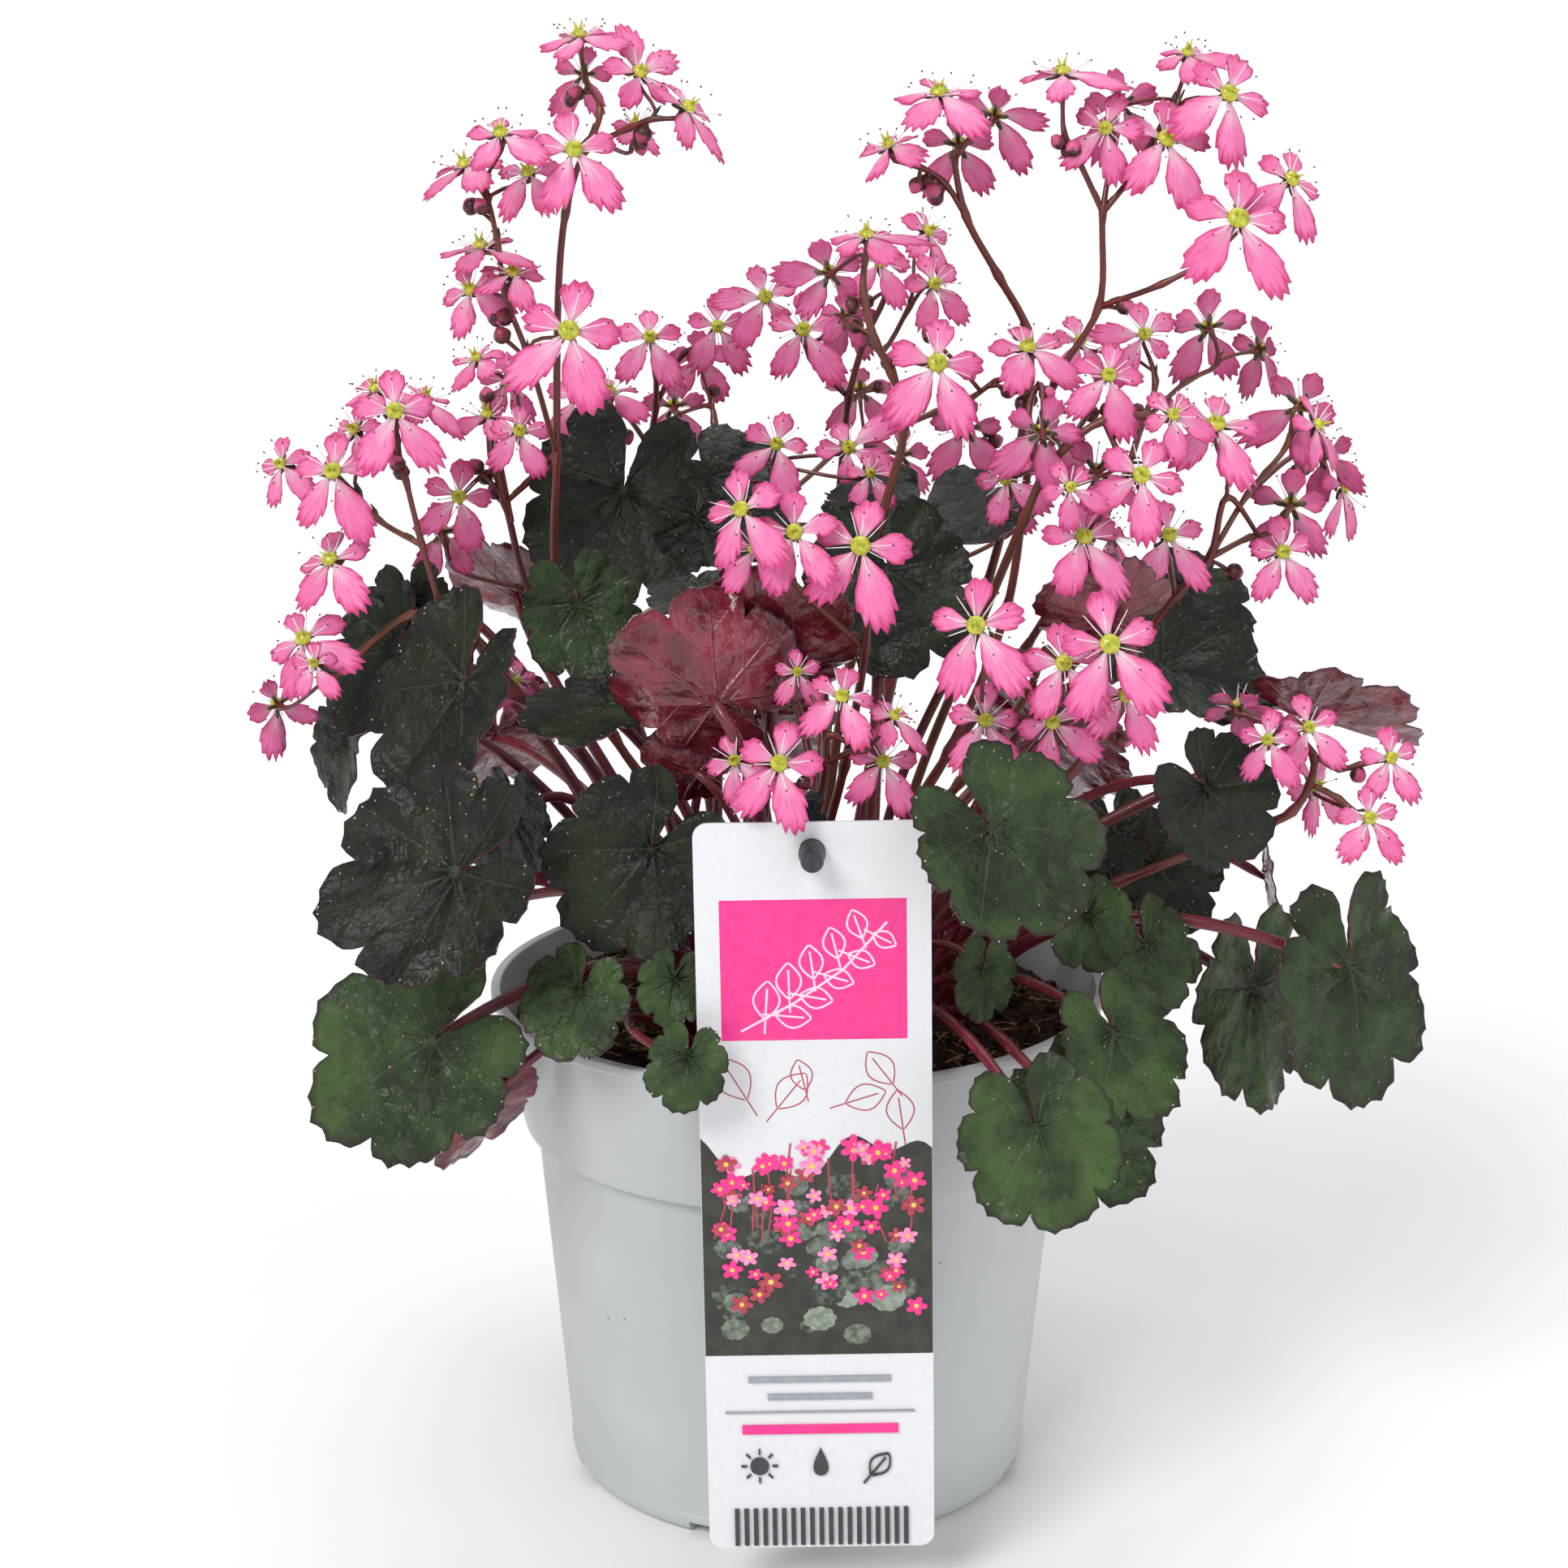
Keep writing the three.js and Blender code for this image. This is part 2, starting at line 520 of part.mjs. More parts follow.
// Closes a thin plate: a centre in front, an outline of pairs (front, back), and one or more points behind,
// of which nearest(i) names the one next to outline point i. The outline runs clockwise seen from the front.
function closePlate(shell, centre, outline, behind, nearest) {
  const { positions, triangles } = shell;
  positions.push(centre);
  const middle = positions.length - 1;
  const pairs = outline.map(([front, back]) => {
    positions.push(front);
    if (back === null) return [positions.length - 1, positions.length - 1];
    positions.push(back);
    return [positions.length - 2, positions.length - 1];
  });
  pairs.forEach(([a, aBack], i) => {
    const j = (i + 1) % pairs.length;
    const [b, bBack] = pairs[j];
    triangles.push(middle, b, a);
    if (b !== bBack) triangles.push(a, b, bBack);
    if (a !== aBack) triangles.push(a, bBack, aBack);
    const near = behind[nearest(i)];
    triangles.push(near, aBack, bBack);
    if (nearest(j) !== nearest(i)) triangles.push(near, bBack, behind[nearest(j)]);
  });
  return shell;
}

// Directions of a leaf or flower: its normal, the way its tip points, and across
function basisOf(face, tilt, turn) {
  const f = radians(face);
  const t = radians(tilt);
  const normal = new THREE.Vector3(Math.sin(f) * Math.cos(t), -Math.cos(f) * Math.cos(t), Math.sin(t));
  const downhill = new THREE.Vector3(Math.sin(f) * Math.sin(t), -Math.cos(f) * Math.sin(t), -Math.cos(t));
  const level = normal.clone().cross(downhill);
  const swing = radians(turn);
  const tip = downhill.clone().multiplyScalar(Math.cos(swing)).addScaledVector(level, Math.sin(swing));
  return { normal, tip, across: tip.clone().cross(normal) };
}

function named(fields, row) {
  return Object.fromEntries(fields.map((field, i) => [field, row[i]]));
}

// Leaf blades

const SINUS_HALF = radians(9);
const HUB_SHARE = 0.22;

// Distance from the stalk's joint to the leaf's edge, as a share of the width, at an angle from the tip
function edgeShare(angle) {
  const body = 0.47 + 0.09 * Math.cos(angle) + 0.035 * Math.cos(2 * angle);
  const along = ((angle + Math.PI - SINUS_HALF) / (2 * Math.PI - 2 * SINUS_HALF)) * LOBES;
  const inLobe = along - Math.floor(along);
  const notch = Math.pow(Math.abs(2 * inLobe - 1), 3);
  return body * (1 - 0.13 * notch);
}

// A point of the blade, with x across and y towards the tip, in mm from the stalk's joint
function bladeAt(leaf, x, y, lift) {
  const hub = HUB_SHARE * leaf.width;
  const bowl = (leaf.cup * (x * x + (y - hub) * (y - hub) - hub * hub)) / leaf.width;
  const share = Math.hypot(x, y) / (0.5 * leaf.width);
  const wave = 0.022 * leaf.width * share * share * Math.sin(3 * Math.atan2(x, y) + leaf.u);
  return leaf.joint.clone().addScaledVector(leaf.across, x).addScaledVector(leaf.tip, y)
    .addScaledVector(leaf.normal, bowl + leaf.fold * Math.abs(x) + wave + lift);
}

function bladePoint(leaf, share, angle, lift) {
  const r = leaf.width * edgeShare(angle) * share;
  return bladeAt(leaf, r * Math.sin(angle), r * Math.cos(angle), lift);
}

function bladeSolid(leaf, extra) {
  const half = BLADE_THICKNESS / 2 + extra;
  const count = (leaf.width >= LARGE_LEAF ? 3 : 2) * (leaf.width < SMALL_LEAF ? LOBES - 2 : LOBES);
  const hub = (lift) => bladeAt(leaf, 0, HUB_SHARE * leaf.width, lift);
  const onJoint = (lift) => leaf.joint.clone().addScaledVector(leaf.normal, lift);
  const outline = [[onJoint(half), onJoint(-half)]];
  for (let i = 0; i <= count; i++) {
    const angle = -Math.PI + SINUS_HALF + ((2 * Math.PI - 2 * SINUS_HALF) * i) / count;
    const share = 1 + extra / leaf.width;
    outline.push([bladePoint(leaf, share, angle, half), bladePoint(leaf, share, angle, -half)]);
  }
  const shell = closePlate({ positions: [hub(-half)], triangles: [] }, hub(half), outline, [0], () => 0);
  return solidFrom(shell.positions, shell.triangles);
}

// Flowers: two long petals hang and three short ones stand, in one star with a raised middle, on a thin stalk

const PETALS = [
  { angle: -31, length: LONG_PETAL, half: 23, shape: [[-1, 0.55], [-0.45, 0.97], [0.5, 1], [1, 0.6]] },
  { angle: 31, length: LONG_PETAL * 0.9, half: 23, shape: [[-1, 0.6], [-0.5, 1], [0.45, 0.97], [1, 0.55]] },
  { angle: 104, length: SHORT_PETAL, half: 22, shape: [[-0.75, 0.85], [0.75, 0.85]] },
  { angle: 180, length: SHORT_PETAL * 1.05, half: 22, shape: [[-0.75, 0.85], [0.75, 0.85]] },
  { angle: 256, length: SHORT_PETAL, half: 22, shape: [[-0.75, 0.85], [0.75, 0.85]] },
];
const BLOOM_BOSS = 1.5;
const BLOOM_BACK = 1;
const STALK_TOP_RADIUS = 0.75;

// Points of the outline: angle from the tip, distance, and whether the plate has its full thickness there
const LONG_PLAIN = [[-0.85, 0.62], [0, 1], [0.85, 0.62]];
const LONG_SMALL = [[-0.75, 0.88], [0.75, 0.88]];
function bloomOutline(rich, longShape) {
  const outline = [];
  for (const { angle, length, half, shape } of PETALS) {
    const long = length > 1.3 * SHORT_PETAL;
    const plain = long ? longShape : [[0, 1]];
    for (const [share, reach] of rich ? shape : plain)
      outline.push([angle + share * half, length * reach, rich || long]);
    outline.push([angle + half + (long ? 8 : 16), rich || long ? 2.3 : 2.9, false]);
  }
  return outline;
}
const RICH_OUTLINE = bloomOutline(true, null);
const PLAIN_OUTLINE = bloomOutline(false, LONG_PLAIN);
const SMALL_OUTLINE = bloomOutline(false, LONG_SMALL);

function bloomPoint(bloom, angle, radius, lift) {
  const reflex = -0.012 * radius * radius * (1 - 0.35 * Math.cos(angle));
  return bloom.centre.clone().addScaledVector(bloom.across, bloom.size * radius * Math.sin(angle))
    .addScaledVector(bloom.tip, bloom.size * radius * Math.cos(angle))
    .addScaledVector(bloom.normal, bloom.size * reflex + lift);
}

// The flower with its stalk, whose points run from the flower down to the fork it grows from
function bloomSolid(bloom, { points, radii }, extra) {
  const shell = tubeShell(points, radii.map((r) => r + extra), bloom.tip, true);
  const half = BLADE_THICKNESS / 2 + extra;
  const plain = bloom.size < SMALL_BLOOM ? SMALL_OUTLINE : PLAIN_OUTLINE;
  const rows = bloom.size >= RICH_SIZE ? RICH_OUTLINE : plain;
  const outline = rows.map(([degrees, radius, thick]) => {
    const a = radians(degrees);
    if (!thick) return [bloomPoint(bloom, a, radius + extra, 0), null];
    return [bloomPoint(bloom, a, radius + extra, half), bloomPoint(bloom, a, radius + extra, -half)];
  });
  const nearest = (i) => (Math.round((rows[i][0] * STALK_SIDES) / 360) + STALK_SIDES) % STALK_SIDES;
  closePlate(shell, bloomPoint(bloom, 0, 0, BLOOM_BOSS + extra), outline, [0, 1, 2], nearest);
  return solidFrom(shell.positions, shell.triangles);
}

function backOf(bloom) {
  return bloomPoint(bloom, 0, 0, -BLOOM_BACK);
}

function bloomSpace(bloom, extra) {
  const points = [backOf(bloom), bloomPoint(bloom, 0, 0, -BLOOM_BACK - 1)];
  return bloomSolid(bloom, { points, radii: [STALK_TOP_RADIUS, STALK_TOP_RADIUS] }, extra);
}

// What stands where, as small balls: hard ones are stems, the pot and the label, soft ones blades and petals

const hard = [];
const soft = [];
const SOFT_WEIGHT = 0.5;
const HARD_WEIGHT = 6;
const BLADE_BALL = 2;
const PETAL_BALL = 1.6;

function block(list, owner, point, radius, item = owner) {
  list.push({ owner, item, x: point.x, y: point.y, z: point.z, radius });
}

function crossing(owner, item, points, radius) {
  let cost = 0;
  for (const [list, weight] of [[hard, HARD_WEIGHT], [soft, SOFT_WEIGHT]])
    for (const other of list) {
      if (list === hard ? other.owner === owner : other.item === item) continue;
      const need = radius + other.radius + GAP;
      for (const p of points) {
        const dx = p.x - other.x;
        if (dx > need || dx < -need) continue;
        const dy = p.y - other.y;
        const dz = p.z - other.z;
        const square = dx * dx + dy * dy + dz * dz;
        if (square < need * need) cost += weight * (need - Math.sqrt(square));
      }
    }
  return cost;
}

// Slides a blade or flower along the line of sight to where it crosses least
const EYE = new THREE.Vector3(VIEW.x, VIEW.y, VIEW.z);
const SHIFTS = [0, -3, 3, -6, 6, -9, 9, -13, 13, -18, 18];
function settle(owner, item, anchor, samples, radius) {
  const sight = anchor.clone().sub(EYE).normalize();
  let best = null;
  for (const shift of SHIFTS) {
    const moved = samples.map((p) => p.clone().addScaledVector(sight, shift));
    const cost = crossing(owner, item, moved, radius) + 0.1 * Math.abs(shift);
    if (best === null || cost < best.cost) best = { cost, moved, shift };
  }
  for (const p of best.moved) block(soft, owner, p, radius, item);
  anchor.addScaledVector(sight, best.shift);
}

// Even samples along straight stretches
function samplesAlong(points) {
  const samples = [];
  for (let i = 0; i < points.length - 1; i++) {
    const count = Math.max(1, Math.round(points[i].distanceTo(points[i + 1]) / SAMPLE_SPACING));
    for (let k = 0; k < count; k++) samples.push(points[i].clone().lerp(points[i + 1], k / count));
  }
  samples.push(points[points.length - 1]);
  return samples;
}

function blockRoute(owner, points, radius) {
  for (const p of samplesAlong(points)) block(hard, owner, p, radius);
}

const SAMPLE_SPACING = 2.6;
const BEND_STEPS = [0, -7, 7, -15, 15, -26, 26];
const LIFT_STEPS = [0, 8, -8];
const END_SAMPLES = 3;
const BENDS = [];
for (const lift of LIFT_STEPS)
  for (const first of BEND_STEPS)
    for (const second of BEND_STEPS) {
      const effort = Math.abs(first) + Math.abs(second) + Math.abs(lift);
      BENDS.push({ first, second, lift, effort });
    }
BENDS.sort((a, b) => a.effort - b.effort);

// The least bent of the free curves from start to end, or else the least crossed
function clearRoute(owner, item, start, leave, end, arrive, radius, steps) {
  const flat = end.clone().sub(start);
  const sideways = new THREE.Vector3(-flat.y, flat.x, 0);
  if (sideways.length() < 1) sideways.set(1, 0, 0);
  sideways.normalize();
  let best = null;
  for (const { first, second, lift, effort } of steps > 1 ? BENDS : BENDS.slice(0, 1)) {
    const p1 = start.clone().add(leave).addScaledVector(sideways, first).addScaledVector(up, 0.6 * lift);
    const p2 = end.clone().sub(arrive).addScaledVector(sideways, second).addScaledVector(up, lift);
    const points = new THREE.CubicBezierCurve3(start, p1, p2, end).getPoints(steps);
    const samples = samplesAlong(points).slice(0, -END_SAMPLES);
    let cost = crossing(owner, item, samples, radius);
    for (const p of samples) {
      const sunk = SOIL_TOP + radius + 0.5 - p.z;
      const beyondRoot = p.distanceTo(start) > 4 * STEM_DEPTH;
      if (sunk > 0 && beyondRoot && Math.hypot(p.x, p.y) < RIM_RADIUS) cost += HARD_WEIGHT * sunk;
    }
    const total = cost + 0.004 * effort;
    if (best === null || total < best.total) best = { total, points };
    if (cost === 0) break;
  }
  blockRoute(owner, best.points, radius);
  return best.points;
}

// Outer radius of the pot's rim band at a height
function bandRadius(z) {
  return BAND_FOOT_RADIUS + ((RIM_RADIUS - BAND_FOOT_RADIUS) * (z - POT_HEIGHT + BAND_HEIGHT)) / BAND_HEIGHT;
}

// The pot's band and the label are in the way too
for (let z = POT_HEIGHT - BAND_HEIGHT; z <= POT_HEIGHT; z += 4)
  for (let k = 0; k < 90; k++) {
    const r = bandRadius(z) - 1;
    const a = (k * Math.PI) / 45;
    block(hard, "pot", new THREE.Vector3(r * Math.cos(a), r * Math.sin(a), z), 2.4);
  }
for (let z = CARD_BOTTOM; z <= CARD_TOP; z += 5)
  for (let x = -CARD_WIDTH / 2; x <= CARD_WIDTH / 2; x += 6)
    block(hard, "label", new THREE.Vector3(CARD_X + x, CARD_Y, z), 3);
for (let z = SOIL_TOP; z <= CARD_TOP; z += 3)
  block(hard, "stake", new THREE.Vector3(CARD_X, STAKE_Y, z), 2.4);

// Places on the soil where stems come up: a sunflower's spiral, given out to the nearest free one
const spots = Array.from({ length: STEM_SPOTS }, (_, k) => {
  const r = STEM_SPACING * SPIRAL_SHARE * Math.sqrt(k + 0.5);
  const a = k * GOLDEN_ANGLE;
  return { x: r * Math.cos(a), y: r * Math.sin(a), free: true };
});

function takeSpot(x, y) {
  let best = null;
  for (const spot of spots) {
    const d = Math.hypot(spot.x - x, spot.y - y);
    if (spot.free && (best === null || d < best.d)) best = { spot, d };
  }
  best.spot.free = false;
  return new THREE.Vector3(best.spot.x, best.spot.y, SOIL_TOP - STEM_DEPTH);
}

// Main stems and branches that the photograph shows
const sprays = Object.entries(SPRAYS).map(([name, { lines, blooms, buds }]) => {
  const known = [];
  for (const line of lines)
    known.push(line.map((row) => (row.length === 3 ? seen(...row) : known[row[0]][row[1]])));
  return { name, lines: known, blooms, buds, taken: new Map() };
});
for (const spray of sprays)
  spray.lines.forEach((points, i) => {
    const radius = i === 0 ? STEM_RADIUS : BRANCH_RADIUS;
    blockRoute(spray.name, points, radius);
  });

// Blades, then flowers, each slid to a free place on its line of sight
const leafClumps = Object.entries(LEAVES).map(([name, rows]) => ({
  name,
  leaves: rows.map((row) => {
    const leaf = named(LEAF_FIELDS, row);
    leaf.joint = seen(leaf.u, leaf.v, leaf.y);
    Object.assign(leaf, basisOf(leaf.face, leaf.tilt, leaf.turn));
    const samples = [];
    for (let ring = 1; ring <= 4; ring++)
      for (let k = 0; k < 4 * ring; k++) {
        const angle = -Math.PI + SINUS_HALF + ((2 * Math.PI - 2 * SINUS_HALF) * (k + 0.5)) / (4 * ring);
        samples.push(bladePoint(leaf, (ring - 0.2) / 4, angle, 0));
      }
    settle(name, leaf, leaf.joint, samples, BLADE_BALL);
    return leaf;
  }),
}));

for (const spray of sprays)
  spray.blooms = spray.blooms.map((row) => {
    const bloom = named(BLOOM_FIELDS, row);
    bloom.centre = seen(bloom.u, bloom.v, bloom.y);
    Object.assign(bloom, basisOf(bloom.face, bloom.tilt, bloom.swing));
    const samples = [bloom.centre.clone()];
    for (const { angle, length } of PETALS)
      for (const share of [0.35, 0.65, 0.95])
        samples.push(bloomPoint(bloom, radians(angle), length * share, 0));
    settle(spray.name, bloom, bloom.centre, samples, PETAL_BALL);
    return bloom;
  });

// The stretch from the soil up to where each main stem shows
for (const spray of sprays) {
  const [low, next] = spray.lines[0];
  const spot = takeSpot(low.x * SPRAY_ROOT_SHARE, low.y * SPRAY_ROOT_SHARE);
  const rise = low.z - spot.z;
  const arrive = next.clone().sub(low).normalize().multiplyScalar(0.35 * rise);
  const leave = new THREE.Vector3(0, 0, 0.45 * rise);
  const points = clearRoute(spray.name, spray.name, spot, leave, low, arrive, STEM_RADIUS * 1.15, 3);
  spray.stem = [...points, ...spray.lines[0].slice(1)];
}

// Leaf stalks, from the middle of the pot outwards
for (const clump of leafClumps) {
  const middle = new THREE.Vector3();
  for (const leaf of clump.leaves) middle.addScaledVector(leaf.joint, 1 / clump.leaves.length);
  const reach = Math.hypot(middle.x, middle.y);
  const away = Math.min(LEAF_ROOT_FAR, LEAF_ROOT_NEAR + LEAF_ROOT_SHARE * reach);
  clump.spot = takeSpot((middle.x / reach) * away, (middle.y / reach) * away);
  clump.routes = clump.leaves.map((leaf, i) => {
    const foot = clump.spot.clone().add(new THREE.Vector3(SHARED_ROOT_STEP * i, 0, -SHARED_ROOT_STEP * i));
    const radius = PETIOLE_RADIUS * Math.sqrt(leaf.width / COMMON_WIDTH);
    const end = leaf.joint.clone().addScaledVector(leaf.tip, 0.04 * leaf.width);
    const span = end.distanceTo(clump.spot);
    const low = leaf.joint.z < POT_HEIGHT + 35;
    const outward = low ? 0.12 : 0.05;
    const leave = new THREE.Vector3(end.x * outward, end.y * outward, span * (low ? 0.55 : 0.4));
    const arrive = leaf.normal.clone().multiplyScalar(0.5).addScaledVector(leaf.tip, 0.5);
    if (low) arrive.z = Math.min(arrive.z, -0.25);
    arrive.normalize().multiplyScalar(0.28 * span);
    const points = clearRoute(clump.name, leaf, foot, leave, end, arrive, radius, 3);
    const radii = taper(points, radius * 1.1, radius * 0.8);
    radii[radii.length - 1] = BURIED_END_RADIUS;
    return { points, radii };
  });
}

// Flower stalks, each from the nearest branch point below or beside its flower
function nearestFork(spray, point) {
  let best = null;
  for (const line of spray.lines)
    line.forEach((p, i) => {
      const d = p.distanceTo(point) + 0.6 * Math.max(0, p.z - point.z) + (i === line.length - 1 ? 0 : 5);
      if (i > 0 && (best === null || d < best.d)) best = { p, d, before: line[i - 1] };
    });
  const taken = spray.taken.get(best.p) ?? 0;
  spray.taken.set(best.p, taken + 1);
  const back = best.before.clone().sub(best.p);
  const start = best.p.clone().addScaledVector(back.normalize(), FORK_SPACING * (taken + 0.3));
  return { start, onward: back.negate() };
}

// The flower nearest to a line's end ends that line; the others get a stalk of their own
function endFlower(spray, line) {
  const tip = line[line.length - 1];
  const free = spray.blooms.filter((bloom) => !bloom.stalk);
  const far = (bloom) => bloom.centre.distanceTo(tip);
  return free.reduce((best, bloom) => (far(bloom) < far(best) ? bloom : best));
}

for (const spray of sprays) {
  spray.lines.forEach((line, i) => {
    const bloom = endFlower(spray, line);
    const route = i === 0 ? spray.stem : line;
    const main = i === 0;
    const stemTaper = [STEM_RADIUS * 1.1, BRANCH_RADIUS];
    const radii = taper(route, ...(main ? stemTaper : [BRANCH_RADIUS, BRANCH_RADIUS * 0.85]));
    if (!main) radii[0] = BURIED_RADIUS;
    const end = backOf(bloom);
    const span = end.distanceTo(route[route.length - 1]);
    const approach = end.clone().addScaledVector(bloom.normal, -0.35 * span);
    blockRoute(spray.name, [route[route.length - 1], approach, end], PEDICEL_RADIUS);
    bloom.stalk = { points: [...route, approach, end].reverse() };
    bloom.stalk.radii = [...radii, PEDICEL_RADIUS, STALK_TOP_RADIUS].reverse();
  });
  for (const bloom of spray.blooms.filter((each) => !each.stalk)) {
    const fork = nearestFork(spray, bloom.centre);
    const end = backOf(bloom);
    const span = end.distanceTo(fork.start);
    const leave = fork.onward.clone().multiplyScalar(0.3 * span).addScaledVector(up, 0.1 * span);
    const arrive = bloom.normal.clone().multiplyScalar(0.35 * span);
    const steps = span > LONG_STALK ? 2 : 1;
    const points = clearRoute(spray.name, bloom, fork.start, leave, end, arrive, PEDICEL_RADIUS, steps);
    points.reverse();
    const radii = points.map(() => PEDICEL_RADIUS);
    radii[0] = STALK_TOP_RADIUS;
    radii[radii.length - 1] = BURIED_RADIUS;
    bloom.stalk = { points, radii };
  }
  spray.buds = spray.buds.map((row) => {
    const tip = seen(...row);
    const fork = nearestFork(spray, tip);
    const grow = tip.clone().sub(fork.start).addScaledVector(up, 2).normalize();
    const base = tip.clone().addScaledVector(grow, -2 * BUD_RADIUS);
    block(hard, spray.name, tip, BUD_RADIUS);
    const points = [fork.start, base, base.clone().lerp(tip, 0.5), tip];
    return { points, radii: [BURIED_RADIUS, PEDICEL_RADIUS, BUD_RADIUS, 0.4] };
  });
}

// The pot, with a rim band, drain channels under the floor and drain holes in them
function makePot(extra) {
  const bandFoot = POT_HEIGHT - BAND_HEIGHT;
  const outside = [
    [0, -extra],
    [BASE_RADIUS - BASE_ROUND, -extra],
    [BASE_RADIUS - 1.2 + extra, 1.2 - extra],
    [BASE_RADIUS + extra, BASE_ROUND],
    [WALL_TOP_RADIUS + extra, bandFoot - 1.5 - extra],
    [BAND_FOOT_RADIUS - 0.6 + extra, bandFoot - extra],
    [BAND_FOOT_RADIUS + extra, bandFoot + 2],
    [RIM_RADIUS - 0.6 + extra, POT_HEIGHT - 2.4],
    [RIM_RADIUS + extra, POT_HEIGHT - 2],
    [RIM_RADIUS + extra, POT_HEIGHT + extra],
  ];
  if (extra > 0) return lathe([...outside, [0, POT_HEIGHT + extra]], POT_SIDES);
  const inside = [
    [RIM_RADIUS - POT_WALL - 0.6, POT_HEIGHT],
    [BAND_FOOT_RADIUS - POT_WALL, bandFoot + 2],
    [WALL_TOP_RADIUS - POT_WALL, bandFoot - 2],
    [BASE_RADIUS - POT_WALL, FLOOR_THICKNESS + 2],
    [BASE_RADIUS - POT_WALL - 2, FLOOR_THICKNESS],
    [0, FLOOR_THICKNESS],
  ];
  let pot = lathe([...outside, ...inside], POT_SIDES);
  const length = BASE_RADIUS - CHANNEL_REACH + 4;
  for (let k = 0; k < CHANNELS; k++) {
    const a = ((k + 0.5) * 2 * Math.PI) / CHANNELS;
    const channel = new THREE.BoxGeometry(length, CHANNEL_WIDTH, 2 * CHANNEL_HEIGHT)
      .translate(CHANNEL_REACH + length / 2, 0, 0).rotateZ(a);
    pot = pot.subtract(solidOf(channel));
    const hole = cylinder(DRAIN_RADIUS, 20, 6, DRAIN_RING * Math.cos(a), DRAIN_RING * Math.sin(a), 5);
    pot = pot.subtract(hole);
  }
  return pot;
}

// The soil fills the pot, a little domed, and is clear of its wall and floor by the gap
function makeSoil(stems) {
  const bandFoot = POT_HEIGHT - BAND_HEIGHT;
  const within = POT_WALL + GAP;
  const edge = SOIL_TOP - SOIL_SLOPE;
  const atTop = bandRadius(edge) - within - 1.2;
  const profile = [
    [0, FLOOR_THICKNESS + GAP],
    [BASE_RADIUS - within - 2.6, FLOOR_THICKNESS + GAP],
    [BASE_RADIUS - within - 0.6, FLOOR_THICKNESS + 3],
    [WALL_TOP_RADIUS - within - 0.8, bandFoot - 3],
    [BAND_FOOT_RADIUS - within - 0.6, bandFoot + 3],
    [atTop, edge],
    [atTop * 0.85, SOIL_TOP],
    [0, SOIL_TOP],
  ];
  let soil = lathe(profile, SOIL_SIDES);
  for (const [foot, next, stemRadius] of stems) {
    const onward = next.clone().sub(foot).normalize();
    const points = [foot.clone().addScaledVector(onward, -GAP), next];
    const radius = (stemRadius + GAP) / Math.cos(Math.PI / HOLE_SIDES);
    const hole = tubeShell(points, [radius, radius], FIRST_SIDE, false, HOLE_SIDES);
    soil = soil.subtract(solidFrom(hole.positions, hole.triangles));
  }
  const slot = new THREE.BoxGeometry(STAKE_WIDTH + 2 * GAP, STAKE_DEPTH + 2 * GAP, 2 * (STAKE_ROOT + GAP));
  soil = soil.subtract(solidOf(slot.translate(CARD_X, STAKE_Y, SOIL_TOP)));
  return largestBody(soil.simplify(SLIVER));
}

// Stands a flat sheet drawn around the card's hole up in the card's place, with the card's lean
function inCardPlace(geometry) {
  return geometry.rotateX(Math.PI / 2).rotateY(radians(-CARD_LEAN)).translate(CARD_X, CARD_Y, CARD_HOLE_Z);
}

// The card has rounded corners and a punched hole
function makeCard() {
  const w = CARD_WIDTH / 2;
  const r = CARD_CORNER;
  const top = CARD_HOLE_DROP;
  const foot = top - CARD_LENGTH;
  const outline = new THREE.Shape();
  outline.moveTo(-w + r, foot);
  outline.lineTo(w - r, foot);
  outline.absarc(w - r, foot + r, r, -Math.PI / 2, 0);
  outline.lineTo(w, top - r);
  outline.absarc(w - r, top - r, r, 0, Math.PI / 2);
  outline.lineTo(-w + r, top);
  outline.absarc(-w + r, top - r, r, Math.PI / 2, Math.PI);
  outline.lineTo(-w, foot + r);
  outline.absarc(-w + r, foot + r, r, Math.PI, 1.5 * Math.PI);
  const hole = new THREE.Path();
  hole.absarc(0, 0, CARD_HOLE_RADIUS, 0, 2 * Math.PI, true);
  outline.holes.push(hole);
  const sheet = { depth: CARD_THICKNESS, bevelEnabled: false, curveSegments: 4 };
  return solidOf(inCardPlace(new THREE.ExtrudeGeometry(outline, sheet)));
}

// The space that the card takes, with the gap around it
function makeCardSpace() {
  const box = new THREE.BoxGeometry(CARD_WIDTH + 2 * GAP, CARD_LENGTH + 2 * GAP, CARD_THICKNESS + 2 * GAP);
  return solidOf(inCardPlace(box.translate(0, CARD_HOLE_DROP - CARD_LENGTH / 2, CARD_THICKNESS / 2)));
}

// A box of the stake from one height to another, larger all around by extra
function stakeBox(width, depth, low, high, extra) {
  const box = new THREE.BoxGeometry(width + 2 * extra, depth + 2 * extra, high - low + 2 * extra);
  return solidOf(box.translate(CARD_X, STAKE_Y, (low + high) / 2));
}

